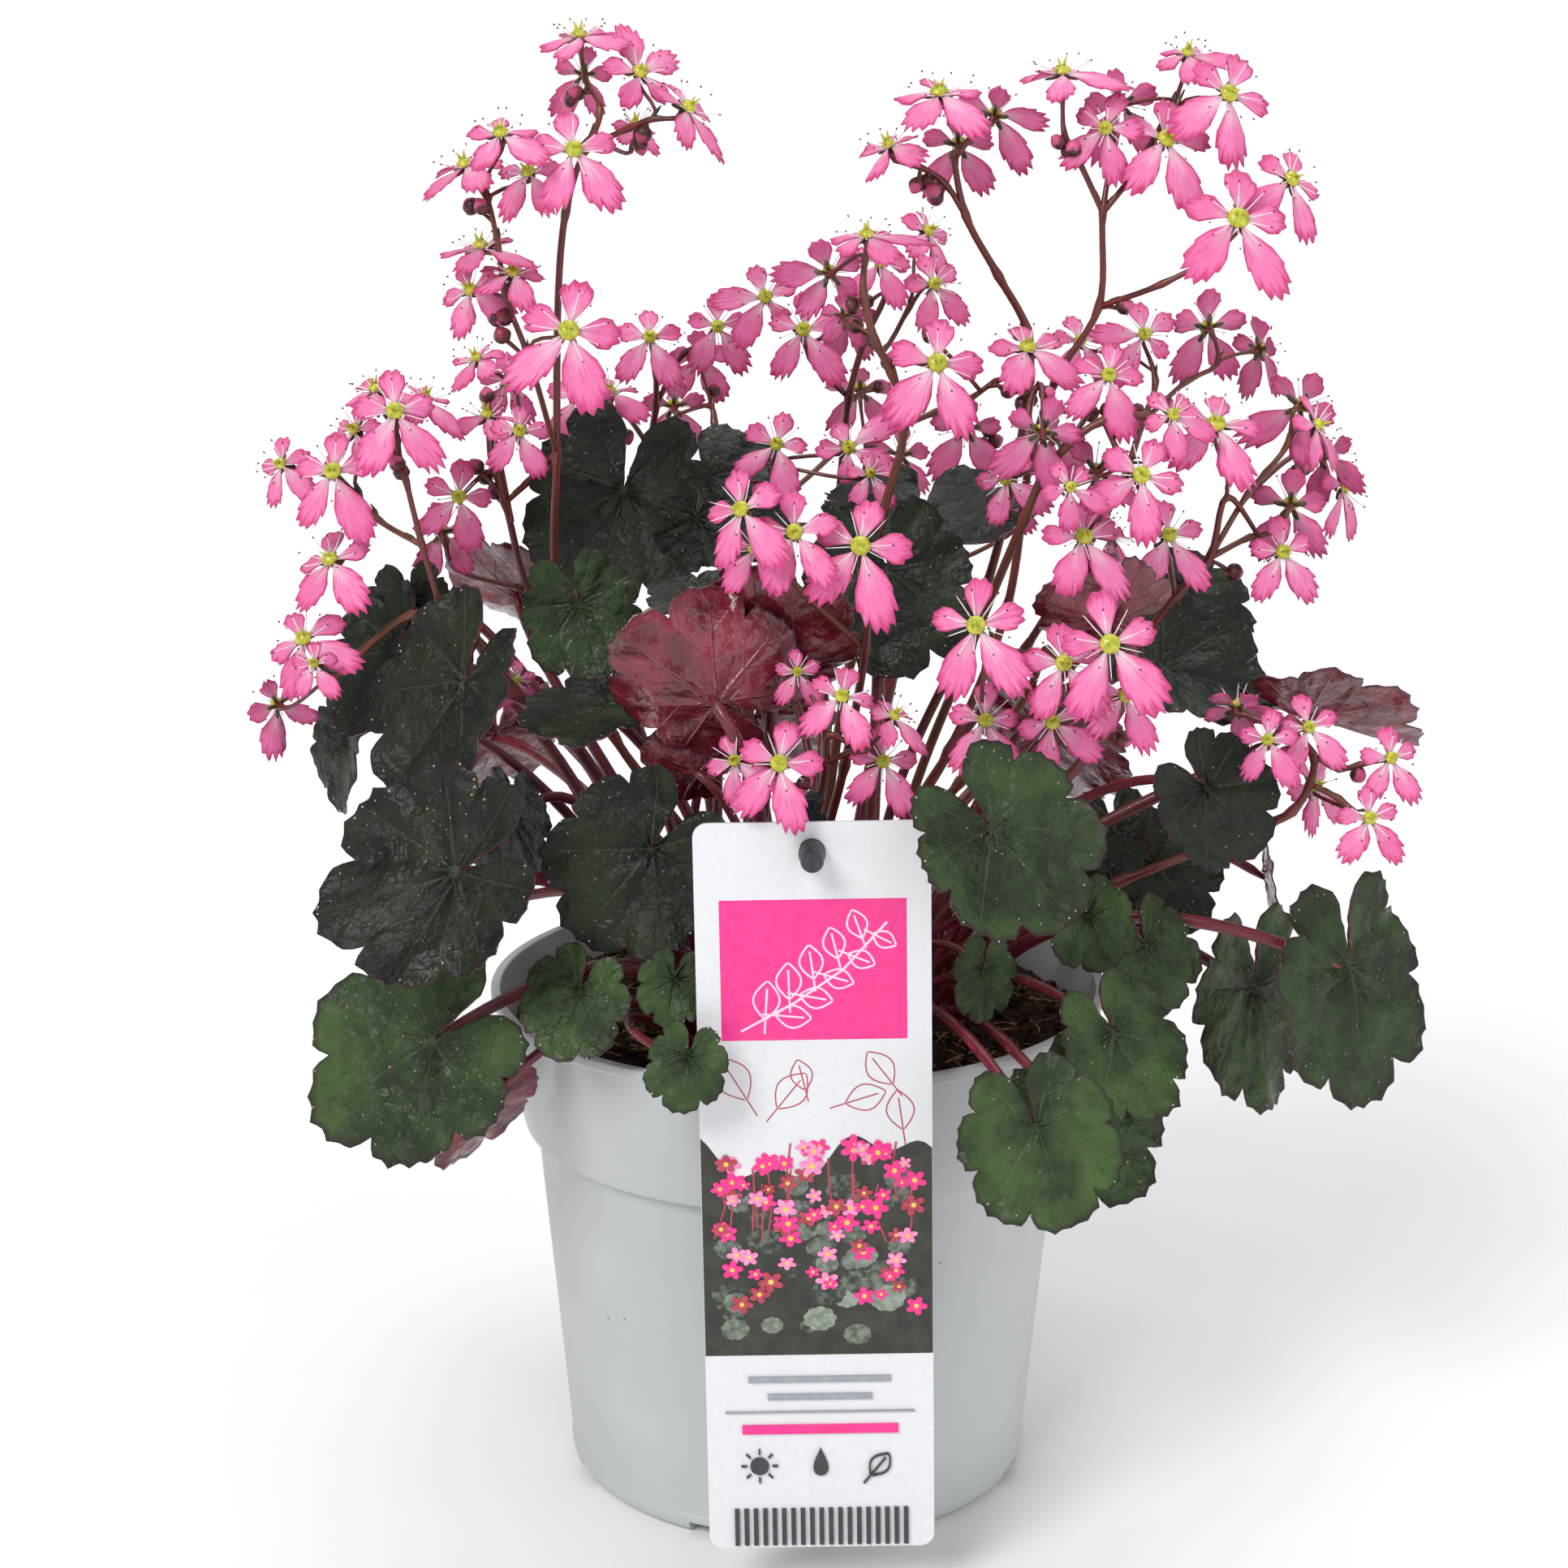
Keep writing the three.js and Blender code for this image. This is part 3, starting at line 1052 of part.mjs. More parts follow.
// The stake stands in the soil. Its peg comes through the card's hole; wings and head show above the card.
function makeStake(extra) {
  const neck = CARD_HOLE_Z + WING_HEIGHT + 1;
  const post = stakeBox(STAKE_WIDTH, STAKE_DEPTH, SOIL_TOP - STAKE_ROOT, neck, extra);
  const wings = stakeBox(WING_WIDTH, WING_DEPTH, CARD_HOLE_Z, CARD_HOLE_Z + WING_HEIGHT, extra);
  const foot = STAKE_DEPTH / 2;
  const cone = new THREE.CylinderGeometry(HEAD_RADIUS + extra, foot + extra, HEAD_HEIGHT + 2 * extra, 10);
  const head = solidOf(cone.rotateX(Math.PI / 2).translate(CARD_X, STAKE_Y, neck + HEAD_HEIGHT / 2 - 0.2));
  const reach = STAKE_Y - CARD_Y + CARD_THICKNESS + PEG_LENGTH;
  const bar = new THREE.CylinderGeometry(PEG_RADIUS + extra, PEG_RADIUS + extra, reach + 2 * extra, 10);
  const peg = solidOf(bar.translate(CARD_X, STAKE_Y - reach / 2, CARD_HOLE_Z));
  return joined([post, wings, head, peg]);
}

// Put the solids together: stalks and stems stay whole, and blades and petals give way where others pass
function joined(solids) {
  return solids.reduce((sum, solid) => sum.add(solid));
}

const plants = [
  ...leafClumps.map(({ name, routes, leaves }) => ({
    name,
    kind: "leaf",
    tubes: routes.map((route) => tube(route, 0)),
    stalks: routes,
    roots: routes.map(({ points, radii }) => [points[0], points[1], radii[0]]),
    parts: leaves.map((leaf) => (extra) => bladeSolid(leaf, extra)),
  })),
  ...sprays.map(({ name, blooms, buds, stem }) => ({
    name,
    kind: "spray",
    tubes: [],
    stalks: [...blooms.map((bloom) => bloom.stalk), ...buds],
    roots: [[stem[0], stem[1], STEM_RADIUS * 1.1]],
    parts: [
      ...blooms.map((bloom) => (extra) =>
        extra > 0 ? bloomSpace(bloom, extra) : bloomSolid(bloom, bloom.stalk, 0)),
      ...buds.filter((_, i) => i % BUDS_APART === 0).map((bud) => (extra) => tube(bud, extra)),
    ],
  })),
];

const pot = makePot(0);
const card = makeCard();
const stake = makeStake(0);
const potSpace = makePot(GAP);
const cardSpace = makeCardSpace();
const stakeSpace = makeStake(GAP);

function boxesMeet(a, b) {
  const p = a.boundingBox();
  const q = b.boundingBox();
  return [0, 1, 2].every((i) => p.min[i] <= q.max[i] && q.min[i] <= p.max[i]);
}

for (const plant of plants) plant.stalkSpace = joined(plant.stalks.map((stalk) => tube(stalk, GAP)));
const group = new THREE.Group();
group.name = "potted_saxifrage";

function addNode(name, solid, look) {
  const [colour, roughness] = COLOURS[look];
  const material = new THREE.MeshStandardMaterial({ color: colour, roughness, metalness: 0 });
  const mesh = new THREE.Mesh(geometryOf(solid), material);
  mesh.name = name;
  group.add(mesh);
}

addNode("pot", pot, "pot");
addNode("soil", makeSoil(plants.flatMap((plant) => plant.roots)), "soil");
addNode("label_card", card, "card");
addNode("label_stake", stake, "stake");

const placed = [];
for (const plant of plants) {
  const fixed = plant.kind === "leaf" ? [potSpace, cardSpace, stakeSpace] : [cardSpace, stakeSpace];
  const own = plant.kind === "spray" ? plant.stalkSpace : null;
  const pieces = plant.parts.map((make) => {
    let piece = make(0);
    const cut = (space) => {
      if (boxesMeet(piece, space)) piece = piece.subtract(own ? space.subtract(own) : space);
    };
    fixed.forEach(cut);
    for (const other of plants) if (other !== plant) cut(other.stalkSpace);
    for (const other of placed) if (other.plant !== plant) cut(other.space);
    return piece;
  });
  const whole = largestBody(joined([...plant.tubes, ...pieces]).simplify(SLIVER));
  for (const make of plant.parts) placed.push({ plant, space: make(GAP) });
  addNode(plant.name, whole, plant.kind);
}

export default group;
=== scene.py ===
"""A potted saxifrage: dark round leaves on maroon stalks and open sprays of pink flowers, in a grey pot.

Lengths are millimetres until a mesh is made. The places of leaves and flowers repeat those of the solid part.
"""

import math
from types import SimpleNamespace

import bmesh
import bpy
import numpy as np
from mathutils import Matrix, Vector, geometry, noise


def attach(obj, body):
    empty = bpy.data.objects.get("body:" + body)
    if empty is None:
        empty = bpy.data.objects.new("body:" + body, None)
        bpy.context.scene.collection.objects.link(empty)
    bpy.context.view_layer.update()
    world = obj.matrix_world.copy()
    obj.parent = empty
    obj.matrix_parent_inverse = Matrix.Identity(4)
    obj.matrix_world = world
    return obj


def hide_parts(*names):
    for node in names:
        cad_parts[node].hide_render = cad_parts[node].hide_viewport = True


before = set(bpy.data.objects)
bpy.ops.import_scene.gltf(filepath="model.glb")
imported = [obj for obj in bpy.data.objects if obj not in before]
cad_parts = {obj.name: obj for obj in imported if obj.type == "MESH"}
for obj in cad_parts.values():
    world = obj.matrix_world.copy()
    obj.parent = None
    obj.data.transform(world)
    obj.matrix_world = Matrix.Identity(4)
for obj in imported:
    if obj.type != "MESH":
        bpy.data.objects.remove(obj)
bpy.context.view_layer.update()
MM = 0.001

# Sizes shared with the solid part
POT_HEIGHT = 115
RIM_RADIUS = 70
BAND_HEIGHT = 31
BAND_FOOT_RADIUS = 63
WALL_TOP_RADIUS = 60
BASE_RADIUS = 53
POT_WALL = 1.6
FLOOR_THICKNESS = 5
BASE_ROUND = 4
CHANNELS = 8
CHANNEL_WIDTH = 9
CHANNEL_HEIGHT = 3
CHANNEL_REACH = 24
DRAIN_RADIUS = 3.5
DRAIN_RING = 38
SOIL_TOP = 108
SOIL_SLOPE = 3
STEM_DEPTH = 7
STEM_SPACING = 6.2
STEM_SPOTS = 90
SPIRAL_SHARE = 0.62
GOLDEN_ANGLE = math.pi * (3 - math.sqrt(5))
SPRAY_ROOT_SHARE = 0.16
LEAF_ROOT_NEAR = 7
LEAF_ROOT_FAR = 27
LEAF_ROOT_SHARE = 0.2
SHARED_ROOT_STEP = 0.9
GAP = 0.35
CARD_WIDTH = 48
CARD_THICKNESS = 0.7
CARD_CORNER = 3
CARD_LENGTH = 161
CARD_LEAN = 0.95
CARD_X = 2.4
CARD_Y = -73
CARD_HOLE_Z = 166.2
CARD_HOLE_DROP = 6.2
CARD_HOLE_RADIUS = 2.8
PEG_RADIUS = 2.4
PEG_LENGTH = 8
STAKE_Y = -57
STAKE_WIDTH = 3.2
STAKE_DEPTH = 2
STAKE_ROOT = 16
WING_WIDTH = 6.4
WING_DEPTH = 1.4
WING_HEIGHT = 3.4
HEAD_RADIUS = 3
HEAD_HEIGHT = 3.6
CARD_TOP = CARD_HOLE_Z + CARD_HOLE_DROP
CARD_BOTTOM = CARD_TOP - CARD_LENGTH
BLADE_THICKNESS = 0.8
LOBES = 7
SMALL_LEAF = 30
COMMON_WIDTH = 45
PETIOLE_RADIUS = 2
PEDICEL_RADIUS = 0.6
BRANCH_RADIUS = 1
STEM_RADIUS = 1.6
LONG_PETAL = 15
SHORT_PETAL = 8.5
BUD_RADIUS = 1.9
LONG_STALK = 22
FORK_SPACING = 1.7

# The viewpoint of the photograph: focal length and image centre in pixels, place in mm, pitch in radians
IMAGE_SIZE = 1932
VIEW = SimpleNamespace(focal=3805, centre=966, x=-3.2, y=-670.8, z=338.5, pitch=0.259)


def seen(u, v, y):
    """The point at depth y that the photograph shows at pixel (u, v)."""
    right = (u - VIEW.centre) / VIEW.focal
    rise = (VIEW.centre - v) / VIEW.focal
    c, s = math.cos(VIEW.pitch), math.sin(VIEW.pitch)
    t = (y - VIEW.y) / (c + rise * s)
    return np.array([VIEW.x + t * right, y, VIEW.z + t * (rise * c - s)])


# Leaves: pixel and depth of the joint with the stalk, width, where the upper side faces, how far it looks up,
# the turn of the tip from downhill, the rise of the edge, and the fold on both sides of the midrib
LEAVES = {
    "leaf_low_left": [[532, 1282, -54, 52, -20, 20, -52, 0.05, -0.1]],
    "leaf_low_left_under": [[590, 1356, -40, 34, -140, 30, 0, 0.1, 0]],
    "leaf_left_bowl": [[562, 1074, -63, 51, -22, 30, -66, 0.3, 0]],
    "leaf_left_shoulder": [[572, 838, -36, 47, -44, 24, -22, 0.1, 0.2]],
    "leaf_left_back_high": [[503, 742, 4, 25, -20, 25, 12, 0.1, 0]],
    "leaf_left_back": [[488, 796, -8, 38, -38, 35, -14, 0.12, 0]],
    "leaf_left_hanging": [[430, 905, 6, 29, -60, 8, 4, -0.1, 0.3]],
    "leaf_left_red": [[642, 732, 42, 36, 158, 42, 150, 0.2, 0]],
    "leaf_crown_left": [[768, 602, 22, 50, -6, 26, -10, 0.12, 0.05]],
    "leaf_crown_back": [[868, 590, 58, 46, 8, 48, 12, -0.1, 0]],
    "leaf_green_cup": [[712, 742, -26, 29, 0, 14, 16, 0.3, 0]],
    "leaf_green_flat": [[748, 868, -31, 33, -10, 76, -50, 0.1, 0]],
    "leaf_red_front": [[884, 862, -52, 43, 176, 12, 126, 0.5, 0.3]],
    "leaf_red_right": [[951, 819, -40, 44, 178, 34, 172, 0.5, 0]],
    "leaf_red_young": [[858, 950, -38, 21, 180, 12, 118, 0.5, 0.1]],
    "leaf_mid_dark": [[1092, 702, -8, 42, 0, 20, 4, 0.1, 0]],
    "leaf_crown_right": [[1136, 628, 24, 50, 8, 80, -14, 0.3, 0]],
    "leaves_mid_left": [
        [858, 640, -2, 20, -12, 10, -14, 0.15, 0], [860, 730, -24, 20, -6, 76, -48, 0.15, 0],
    ],
    "leaf_right_red": [[1374, 760, -34, 30, 184, 30, 108, 0.35, 0.2]],
    "leaf_right_back": [[1462, 722, 30, 30, 38, 52, 34, 0.1, 0]],
    "leaf_right_dark": [[1478, 800, 22, 38, 48, 42, 16, 0.1, 0]],
    "leaf_right_fold": [[1432, 822, -2, 44, 28, 58, 58, 0.05, 0.25]],
    "leaf_right_wing": [[1606, 880, -4, 45, 150, 66, -48, 0.1, 0.3]],
    "leaf_right_veined": [[1486, 970, -42, 32, 22, 18, 40, 0.12, 0]],
    "leaf_front_right": [[1222, 1020, -80, 41, 8, 30, 36, 0.1, 0.1]],
    "leaves_young_right": [
        [1212, 1194, -54, 20, 40, 8, -10, 0.1, 0], [1340, 1128, -50, 22, 10, 30, 10, 0.2, 0],
    ],
    "leaf_right_small": [[1412, 1165, -44, 27, 32, 16, 18, 0.1, 0]],
    "leaf_rim_right": [[1372, 1272, -64, 34, 34, 28, 18, 0.12, 0]],
    "leaf_pot_front": [[1276, 1388, -93, 37, 10, 20, 16, 0.06, 0]],
    "leaf_pot_behind": [[1321, 1362, -78, 38, 22, 24, 30, 0.05, 0]],
    "leaves_shade_right": [
        [1424, 1062, -16, 30, 20, 18, 32, 0.1, 0], [1374, 1022, 4, 26, 0, 40, 10, 0.1, 0],
    ],
    "leaf_hanging_right": [[1546, 1216, 2, 49, 46, 12, -4, 0.08, 0]],
    "leaf_far_right": [[1663, 1189, -32, 51, 40, 14, 0, 0.1, -0.1]],
    "leaf_edge_right": [[1562, 1075, 24, 32, 84, 10, 0, 0.1, 0]],
    "leaf_left_low_dark": [[802, 1046, -50, 42, -8, 14, -38, 0.1, 0]],
    "leaves_rim_left": [
        [714, 1222, -58, 26, -14, 30, -16, 0.1, 0], [832, 1206, -63, 18, -10, 16, -6, 0.1, 0],
        [848, 1302, -75, 19, -6, 14, -8, 0.1, 0],
    ],
    "leaf_narrow_left": [[632, 1008, 2, 32, -48, 10, 6, 0.1, 0]],
    "leaves_back_left": [
        [610, 900, 72, 44, -150, 34, 0, 0.12, 0], [560, 1120, 62, 42, -128, 26, 10, 0.1, 0],
    ],
    "leaves_back": [[820, 1080, 104, 46, -172, 30, -8, 0.1, 0], [930, 880, 84, 48, 176, 40, 0, 0.15, 0]],
    "leaves_back_right": [
        [1120, 1090, 102, 44, 164, 28, 8, 0.1, 0], [1290, 900, 74, 48, 148, 36, 0, 0.12, 0],
        [1390, 1060, 66, 44, 130, 24, 0, 0.1, 0],
    ],
}

# Sprays: the main stem and its branches by pixel and depth, where a pair of numbers is a point of an earlier
# line, then the flowers with their facing, tilt, size and swing, and the tips of the buds
SPRAYS = {
    "spray_top_left": dict(
        lines=[
            [[690, 745, 8], [686, 560, -2], [697, 262, -4], [727, 180, -6]],
            [[0, 3], [740, 135, -6], [722, 100, 2]], [[0, 3], [775, 158, -10], [806, 146, -12]],
            [[0, 1], [651, 440, -14], [622, 362, -16], [613, 300, -14], [598, 240, -12]],
        ],
        blooms=[
            [714, 46, 4, -20, 78, 1, 40], [719, 92, 14, 190, 10, 0.75, 10],
            [788, 90, -4, 30, 35, 0.95, 150], [846, 134, -14, 62, 38, 1, -20],
            [782, 156, 6, 20, 60, 0.6, -10], [617, 166, -22, -10, 58, 0.95, 20],
            [573, 205, -8, -40, 66, 0.95, 30], [707, 185, -24, 10, 28, 1.1, 8],
            [652, 213, -14, -20, 40, 0.85, 10], [592, 306, -12, -20, 76, 1, 40],
            [631, 338, -22, 25, 66, 0.85, -30], [580, 358, -20, -20, 34, 0.85, 30],
            [701, 408, -28, 2, 26, 1.3, -14],
        ],
        buds=[
            [700, 112, -2], [690, 120, 0], [787, 176, -12], [792, 192, -10], [588, 244, -14],
            [574, 246, -8], [612, 384, -16], [600, 388, -14], [612, 404, -18],
        ],
    ),
    "spray_left": dict(
        lines=[
            [[602, 812, -20], [580, 782, -22], [545, 757, -22], [505, 758, -20], [448, 800, -18],
             [408, 836, -16]],
            [[0, 2], [520, 672, -22], [500, 592, -22], [489, 545, -20]],
            [[1, 1], [466, 640, -14], [440, 610, -12]],
        ],
        blooms=[
            [487, 507, -24, 5, 26, 1.1, 0], [463, 482, -8, -20, 72, 0.9, 50],
            [522, 492, -6, 60, 60, 0.85, -30], [438, 530, -14, -30, 30, 0.8, 0],
            [411, 581, -20, -8, 24, 1.1, 0], [348, 572, -10, -30, 20, 0.75, 20],
            [408, 691, -20, -30, 46, 1.05, 24], [375, 788, -26, -18, 40, 1.05, 36],
            [388, 818, -30, -10, 30, 0.6, 10], [342, 868, -6, -150, 10, 0.85, -30],
            [637, 838, -12, 0, 20, 0.55, 0],
        ],
        buds=[[483, 562, -22], [492, 574, -18], [478, 552, -14]],
    ),
    "spray_left_back": dict(
        lines=[
            [[652, 728, 24], [622, 620, 18], [606, 580, 18]], [[0, 1], [648, 596, 18], [660, 578, 16]],
            [[0, 0], [560, 700, 22], [548, 668, 16]],
        ],
        blooms=[
            [600, 514, 18, -10, 74, 0.85, 0], [640, 532, 8, 8, 28, 0.85, -8],
            [588, 444, 22, -40, 60, 0.75, 30], [626, 470, 26, 20, 10, 0.85, 0],
            [565, 612, 10, 8, 16, 0.95, -14], [545, 655, 20, 170, 10, 0.9, 0],
        ],
        buds=[
            [580, 566, 16], [592, 578, 20], [610, 560, 14], [604, 596, 20], [668, 572, 12], [690, 560, 18],
            [598, 476, 20],
        ],
    ),
    "spray_mid_left_back": dict(
        lines=[
            [[806, 560, 62], [808, 500, 58], [808, 458, 54]], [[0, 1], [842, 436, 58], [862, 425, 56]],
            [[0, 0], [770, 510, 54], [752, 500, 50]],
        ],
        blooms=[
            [801, 416, 48, 0, 28, 0.95, 0], [884, 402, 54, 10, 12, 0.9, 0],
            [752, 484, 44, -10, 60, 0.8, 20], [712, 490, 44, -10, 20, 0.9, 0],
        ],
        buds=[[858, 440, 54], [866, 446, 56], [776, 548, 50]],
    ),
    "spray_mid_back": dict(
        lines=[
            [[1040, 548, 44], [1046, 490, 42], [1066, 418, 40], [1092, 358, 38]],
            [[0, 1], [1006, 452, 40], [994, 430, 40]], [[0, 2], [1088, 432, 46], [1120, 380, 44]],
            [[0, 0], [962, 610, 28], [950, 580, 22]],
        ],
        blooms=[
            [943, 366, 34, 0, 24, 0.95, -60], [990, 406, 30, 0, 18, 1, 0],
            [1084, 323, 32, 6, 24, 0.85, -12], [1150, 350, 36, 24, 14, 0.9, 10],
            [1142, 286, 44, 50, 34, 0.85, -30], [1046, 392, 46, 180, 10, 0.8, 0],
            [957, 548, 14, 0, 28, 0.9, -20], [1046, 552, 16, -6, 30, 0.95, 100],
            [1072, 584, 8, 8, 24, 0.65, 0],
        ],
        buds=[[928, 606, 20], [900, 590, 18], [1060, 372, 44], [1104, 450, 44], [1092, 470, 46]],
    ),
    "spray_mid": dict(
        lines=[
            [[1086, 640, -6], [1114, 524, -10], [1098, 458, -10], [1078, 420, -10], [1064, 362, -8],
             [1066, 318, -6]],
            [[0, 1], [1152, 508, -4], [1194, 492, 2], [1226, 470, 4]],
        ],
        blooms=[
            [1155, 448, -22, 4, 26, 1.25, -8], [1068, 292, -8, -8, 74, 1, 60],
            [1022, 336, 2, 176, 14, 0.95, 60], [1040, 388, 0, 160, 20, 0.6, 0],
            [1266, 430, -8, 6, 62, 1.1, 10],
        ],
        buds=[[1038, 376, -6], [1048, 392, -4], [1252, 482, 0], [1262, 474, -2], [1138, 404, 2]],
    ),
    "spray_top_mid": dict(
        lines=[
            [[1268, 470, 12], [1266, 408, 10], [1230, 340, 6], [1190, 266, 2], [1176, 196, 2]],
            [[0, 3], [1164, 226, 0], [1132, 205, -2]], [[0, 4], [1200, 165, 2], [1212, 155, 4]],
        ],
        blooms=[
            [1157, 116, -4, 0, 66, 1.15, 6], [1181, 178, 12, 176, 20, 1, 0],
            [1096, 181, -2, -50, 62, 0.85, 50], [1226, 142, 10, 160, 30, 0.95, -60],
        ],
        buds=[[1124, 238, -4], [1136, 232, 0], [1148, 240, -4], [1142, 246, 2], [1248, 404, 8]],
    ),
    "spray_top_right": dict(
        lines=[
            [[1240, 752, -10], [1271, 560, -8], [1302, 466, -8], [1354, 378, -8], [1359, 262, -8]],
            [[0, 4], [1328, 196, -6], [1312, 168, -6]],
            [[0, 4], [1394, 218, -6], [1416, 182, -2], [1446, 128, 4]],
            [[0, 3], [1432, 350, -14], [1500, 312, -16]], [[2, 2], [1440, 140, 2], [1452, 130, 2]],
        ],
        blooms=[
            [1309, 91, -4, -14, 78, 1.05, 40], [1380, 128, 6, 180, 6, 0.95, -10],
            [1363, 158, -12, -20, 10, 0.9, -16], [1437, 172, -10, 14, 34, 1.2, -16],
            [1463, 68, 6, 10, 66, 0.85, 30], [1513, 116, -4, 20, 22, 1.15, -30],
            [1525, 270, -26, 6, 30, 1.35, -10], [1590, 222, -10, 30, 30, 1, -30],
        ],
        buds=[
            [1296, 168, -8], [1312, 178, -4], [1322, 172, -8], [1468, 134, 0], [1479, 156, 2],
            [1396, 372, -10],
        ],
    ),
    "spray_right_mid": dict(
        lines=[
            [[1262, 640, -24], [1284, 590, -26], [1316, 548, -28], [1360, 518, -28], [1412, 512, -28]],
            [[0, 2], [1345, 500, -18], [1352, 470, -20]], [[0, 3], [1380, 560, -30], [1392, 572, -32]],
            [[0, 1], [1268, 500, -20], [1281, 472, -17]],
        ],
        blooms=[
            [1366, 463, -26, 0, 28, 0.95, -10], [1444, 512, -32, 20, 30, 0.8, 30],
            [1406, 586, -40, 4, 26, 1.1, -26], [1334, 662, -38, 20, 34, 1.1, 0],
            [1284, 532, -30, 176, 10, 0.95, 20], [1240, 590, -14, -20, 10, 0.85, 24],
            [1318, 600, -38, 10, 14, 0.7, 30], [1350, 580, -20, 160, 12, 0.9, -30],
        ],
        buds=[
            [1300, 484, -20], [1344, 506, -14], [1388, 512, -22], [1402, 500, -20], [1376, 500, -18],
            [1420, 626, -34], [1252, 500, -14], [1268, 486, -14],
        ],
    ),
    "spray_right": dict(
        lines=[
            [[1388, 812, -12], [1448, 736, -14], [1490, 688, -14], [1512, 612, -14]],
            [[0, 2], [1538, 608, -10], [1560, 582, -8], [1586, 548, -6]],
            [[0, 2], [1540, 662, -10], [1570, 655, -8]], [[0, 1], [1440, 690, -18], [1436, 676, -20]],
            [[1, 1], [1600, 560, 2], [1626, 566, 4]],
        ],
        blooms=[
            [1498, 524, -22, 6, 50, 1.2, -16], [1440, 660, -26, 10, 30, 1, 0],
            [1602, 500, -6, 150, 10, 1.05, 30], [1634, 560, 6, 140, 6, 0.9, -20],
            [1590, 622, -6, 165, 16, 1.05, 0], [1580, 680, -16, 12, 14, 0.95, 4],
            [1654, 600, 8, 60, 10, 0.95, -10], [1622, 524, -2, 50, 20, 0.8, 0],
        ],
        buds=[[1532, 706, -12], [1600, 575, 0], [1608, 584, 4], [1420, 632, -20], [1596, 590, -2]],
    ),
    "spray_right_back": dict(
        lines=[
            [[1380, 600, 52], [1408, 520, 56], [1424, 470, 58]], [[0, 1], [1462, 470, 62], [1500, 448, 64]],
            [[0, 0], [1230, 560, 56], [1200, 540, 56]],
        ],
        blooms=[
            [1410, 412, 58, 0, 20, 0.95, -60], [1488, 404, 64, 190, 10, 1.1, 0],
            [1553, 430, 66, 120, 10, 0.95, 0], [1190, 528, 54, 176, 10, 1.05, 0],
            [1330, 420, 60, 20, 30, 0.85, 0],
        ],
        buds=[[1448, 500, 58], [1236, 540, 58], [1222, 520, 58]],
    ),
    "spray_front_right": dict(
        lines=[
            [[1268, 850, -52], [1284, 806, -62], [1290, 800, -66]],
            [[0, 1], [1236, 800, -66], [1224, 792, -68]], [[0, 0], [1318, 846, -66], [1340, 842, -70]],
        ],
        blooms=[
            [1203, 771, -76, -12, 22, 1.15, 6], [1311, 817, -78, -6, 20, 1, 10],
            [1367, 794, -84, 4, 22, 1.2, 4], [1386, 857, -74, 12, 22, 0.85, -10],
            [1214, 888, -66, 6, 26, 0.9, -8], [1296, 890, -70, 10, 20, 0.9, 24],
        ],
        buds=[[1236, 900, -62], [1392, 918, -62], [1290, 860, -62]],
    ),
    "spray_front": dict(
        lines=[
            [[1066, 800, -44], [1070, 730, -52], [1062, 706, -56]],
            [[0, 0], [1000, 740, -50], [960, 700, -54], [930, 670, -56]],
        ],
        blooms=[
            [1060, 673, -64, 0, 22, 1.2, -14], [979, 656, -66, -4, 22, 1, 6],
            [914, 628, -64, -30, 24, 1, 18], [930, 676, -56, -10, 20, 0.8, 0],
        ],
        buds=[[948, 688, -54], [940, 664, -52]],
    ),
    "spray_front_low": dict(
        lines=[
            [[1010, 985, -50], [1018, 940, -56], [1022, 905, -60]],
            [[0, 1], [1052, 925, -62], [1066, 925, -66]], [[0, 0], [960, 980, -58], [948, 965, -62]],
        ],
        blooms=[
            [1037, 859, -68, 6, 36, 0.85, -16], [1100, 884, -64, 40, 50, 0.7, -10],
            [1088, 938, -72, 6, 20, 0.85, -6], [960, 941, -74, -2, 24, 1.05, -16],
            [906, 938, -66, -14, 30, 0.75, 30], [982, 828, -52, 10, 20, 0.6, 0],
        ],
        buds=[[1002, 960, -56], [994, 975, -58]],
    ),
    "spray_low_right": dict(
        lines=[
            [[1560, 1016, -34], [1592, 1000, -36], [1614, 966, -36], [1618, 930, -34], [1594, 902, -32]],
            [[0, 3], [1650, 948, -34], [1676, 942, -34]], [[0, 2], [1650, 984, -38], [1668, 1000, -40]],
            [[0, 4], [1548, 886, -30], [1532, 880, -28]],
        ],
        blooms=[
            [1612, 896, -42, 4, 20, 0.8, 10], [1562, 912, -40, -10, 26, 0.75, 0],
            [1713, 934, -38, 14, 22, 0.8, 0], [1687, 1008, -46, 8, 22, 0.85, 0],
            [1618, 968, -26, 40, 16, 0.9, 20], [1524, 872, -24, 160, 40, 0.85, -40],
        ],
        buds=[[1680, 962, -36], [1588, 880, -34], [1574, 930, -36]],
    ),
    "spray_far_back": dict(
        lines=[
            [[900, 640, 90], [880, 520, 100], [876, 500, 102]],
            [[0, 0], [1040, 640, 104], [1060, 600, 106]],
            [[0, 0], [1130, 700, 96], [1240, 660, 96], [1300, 600, 98]],
        ],
        blooms=[
            [862, 440, 100, 180, 30, 1, 0], [830, 500, 104, -170, 20, 1, 0],
            [1060, 480, 104, 176, 30, 1.05, 0], [1110, 560, 112, 165, 18, 1, 0],
            [1300, 540, 102, 150, 30, 1.05, 0], [1240, 610, 108, 170, 20, 1, 0],
            [1370, 660, 92, 120, 26, 0.9, 0],
        ],
        buds=[[880, 470, 104], [1076, 540, 108], [1290, 570, 100]],
    ),
}

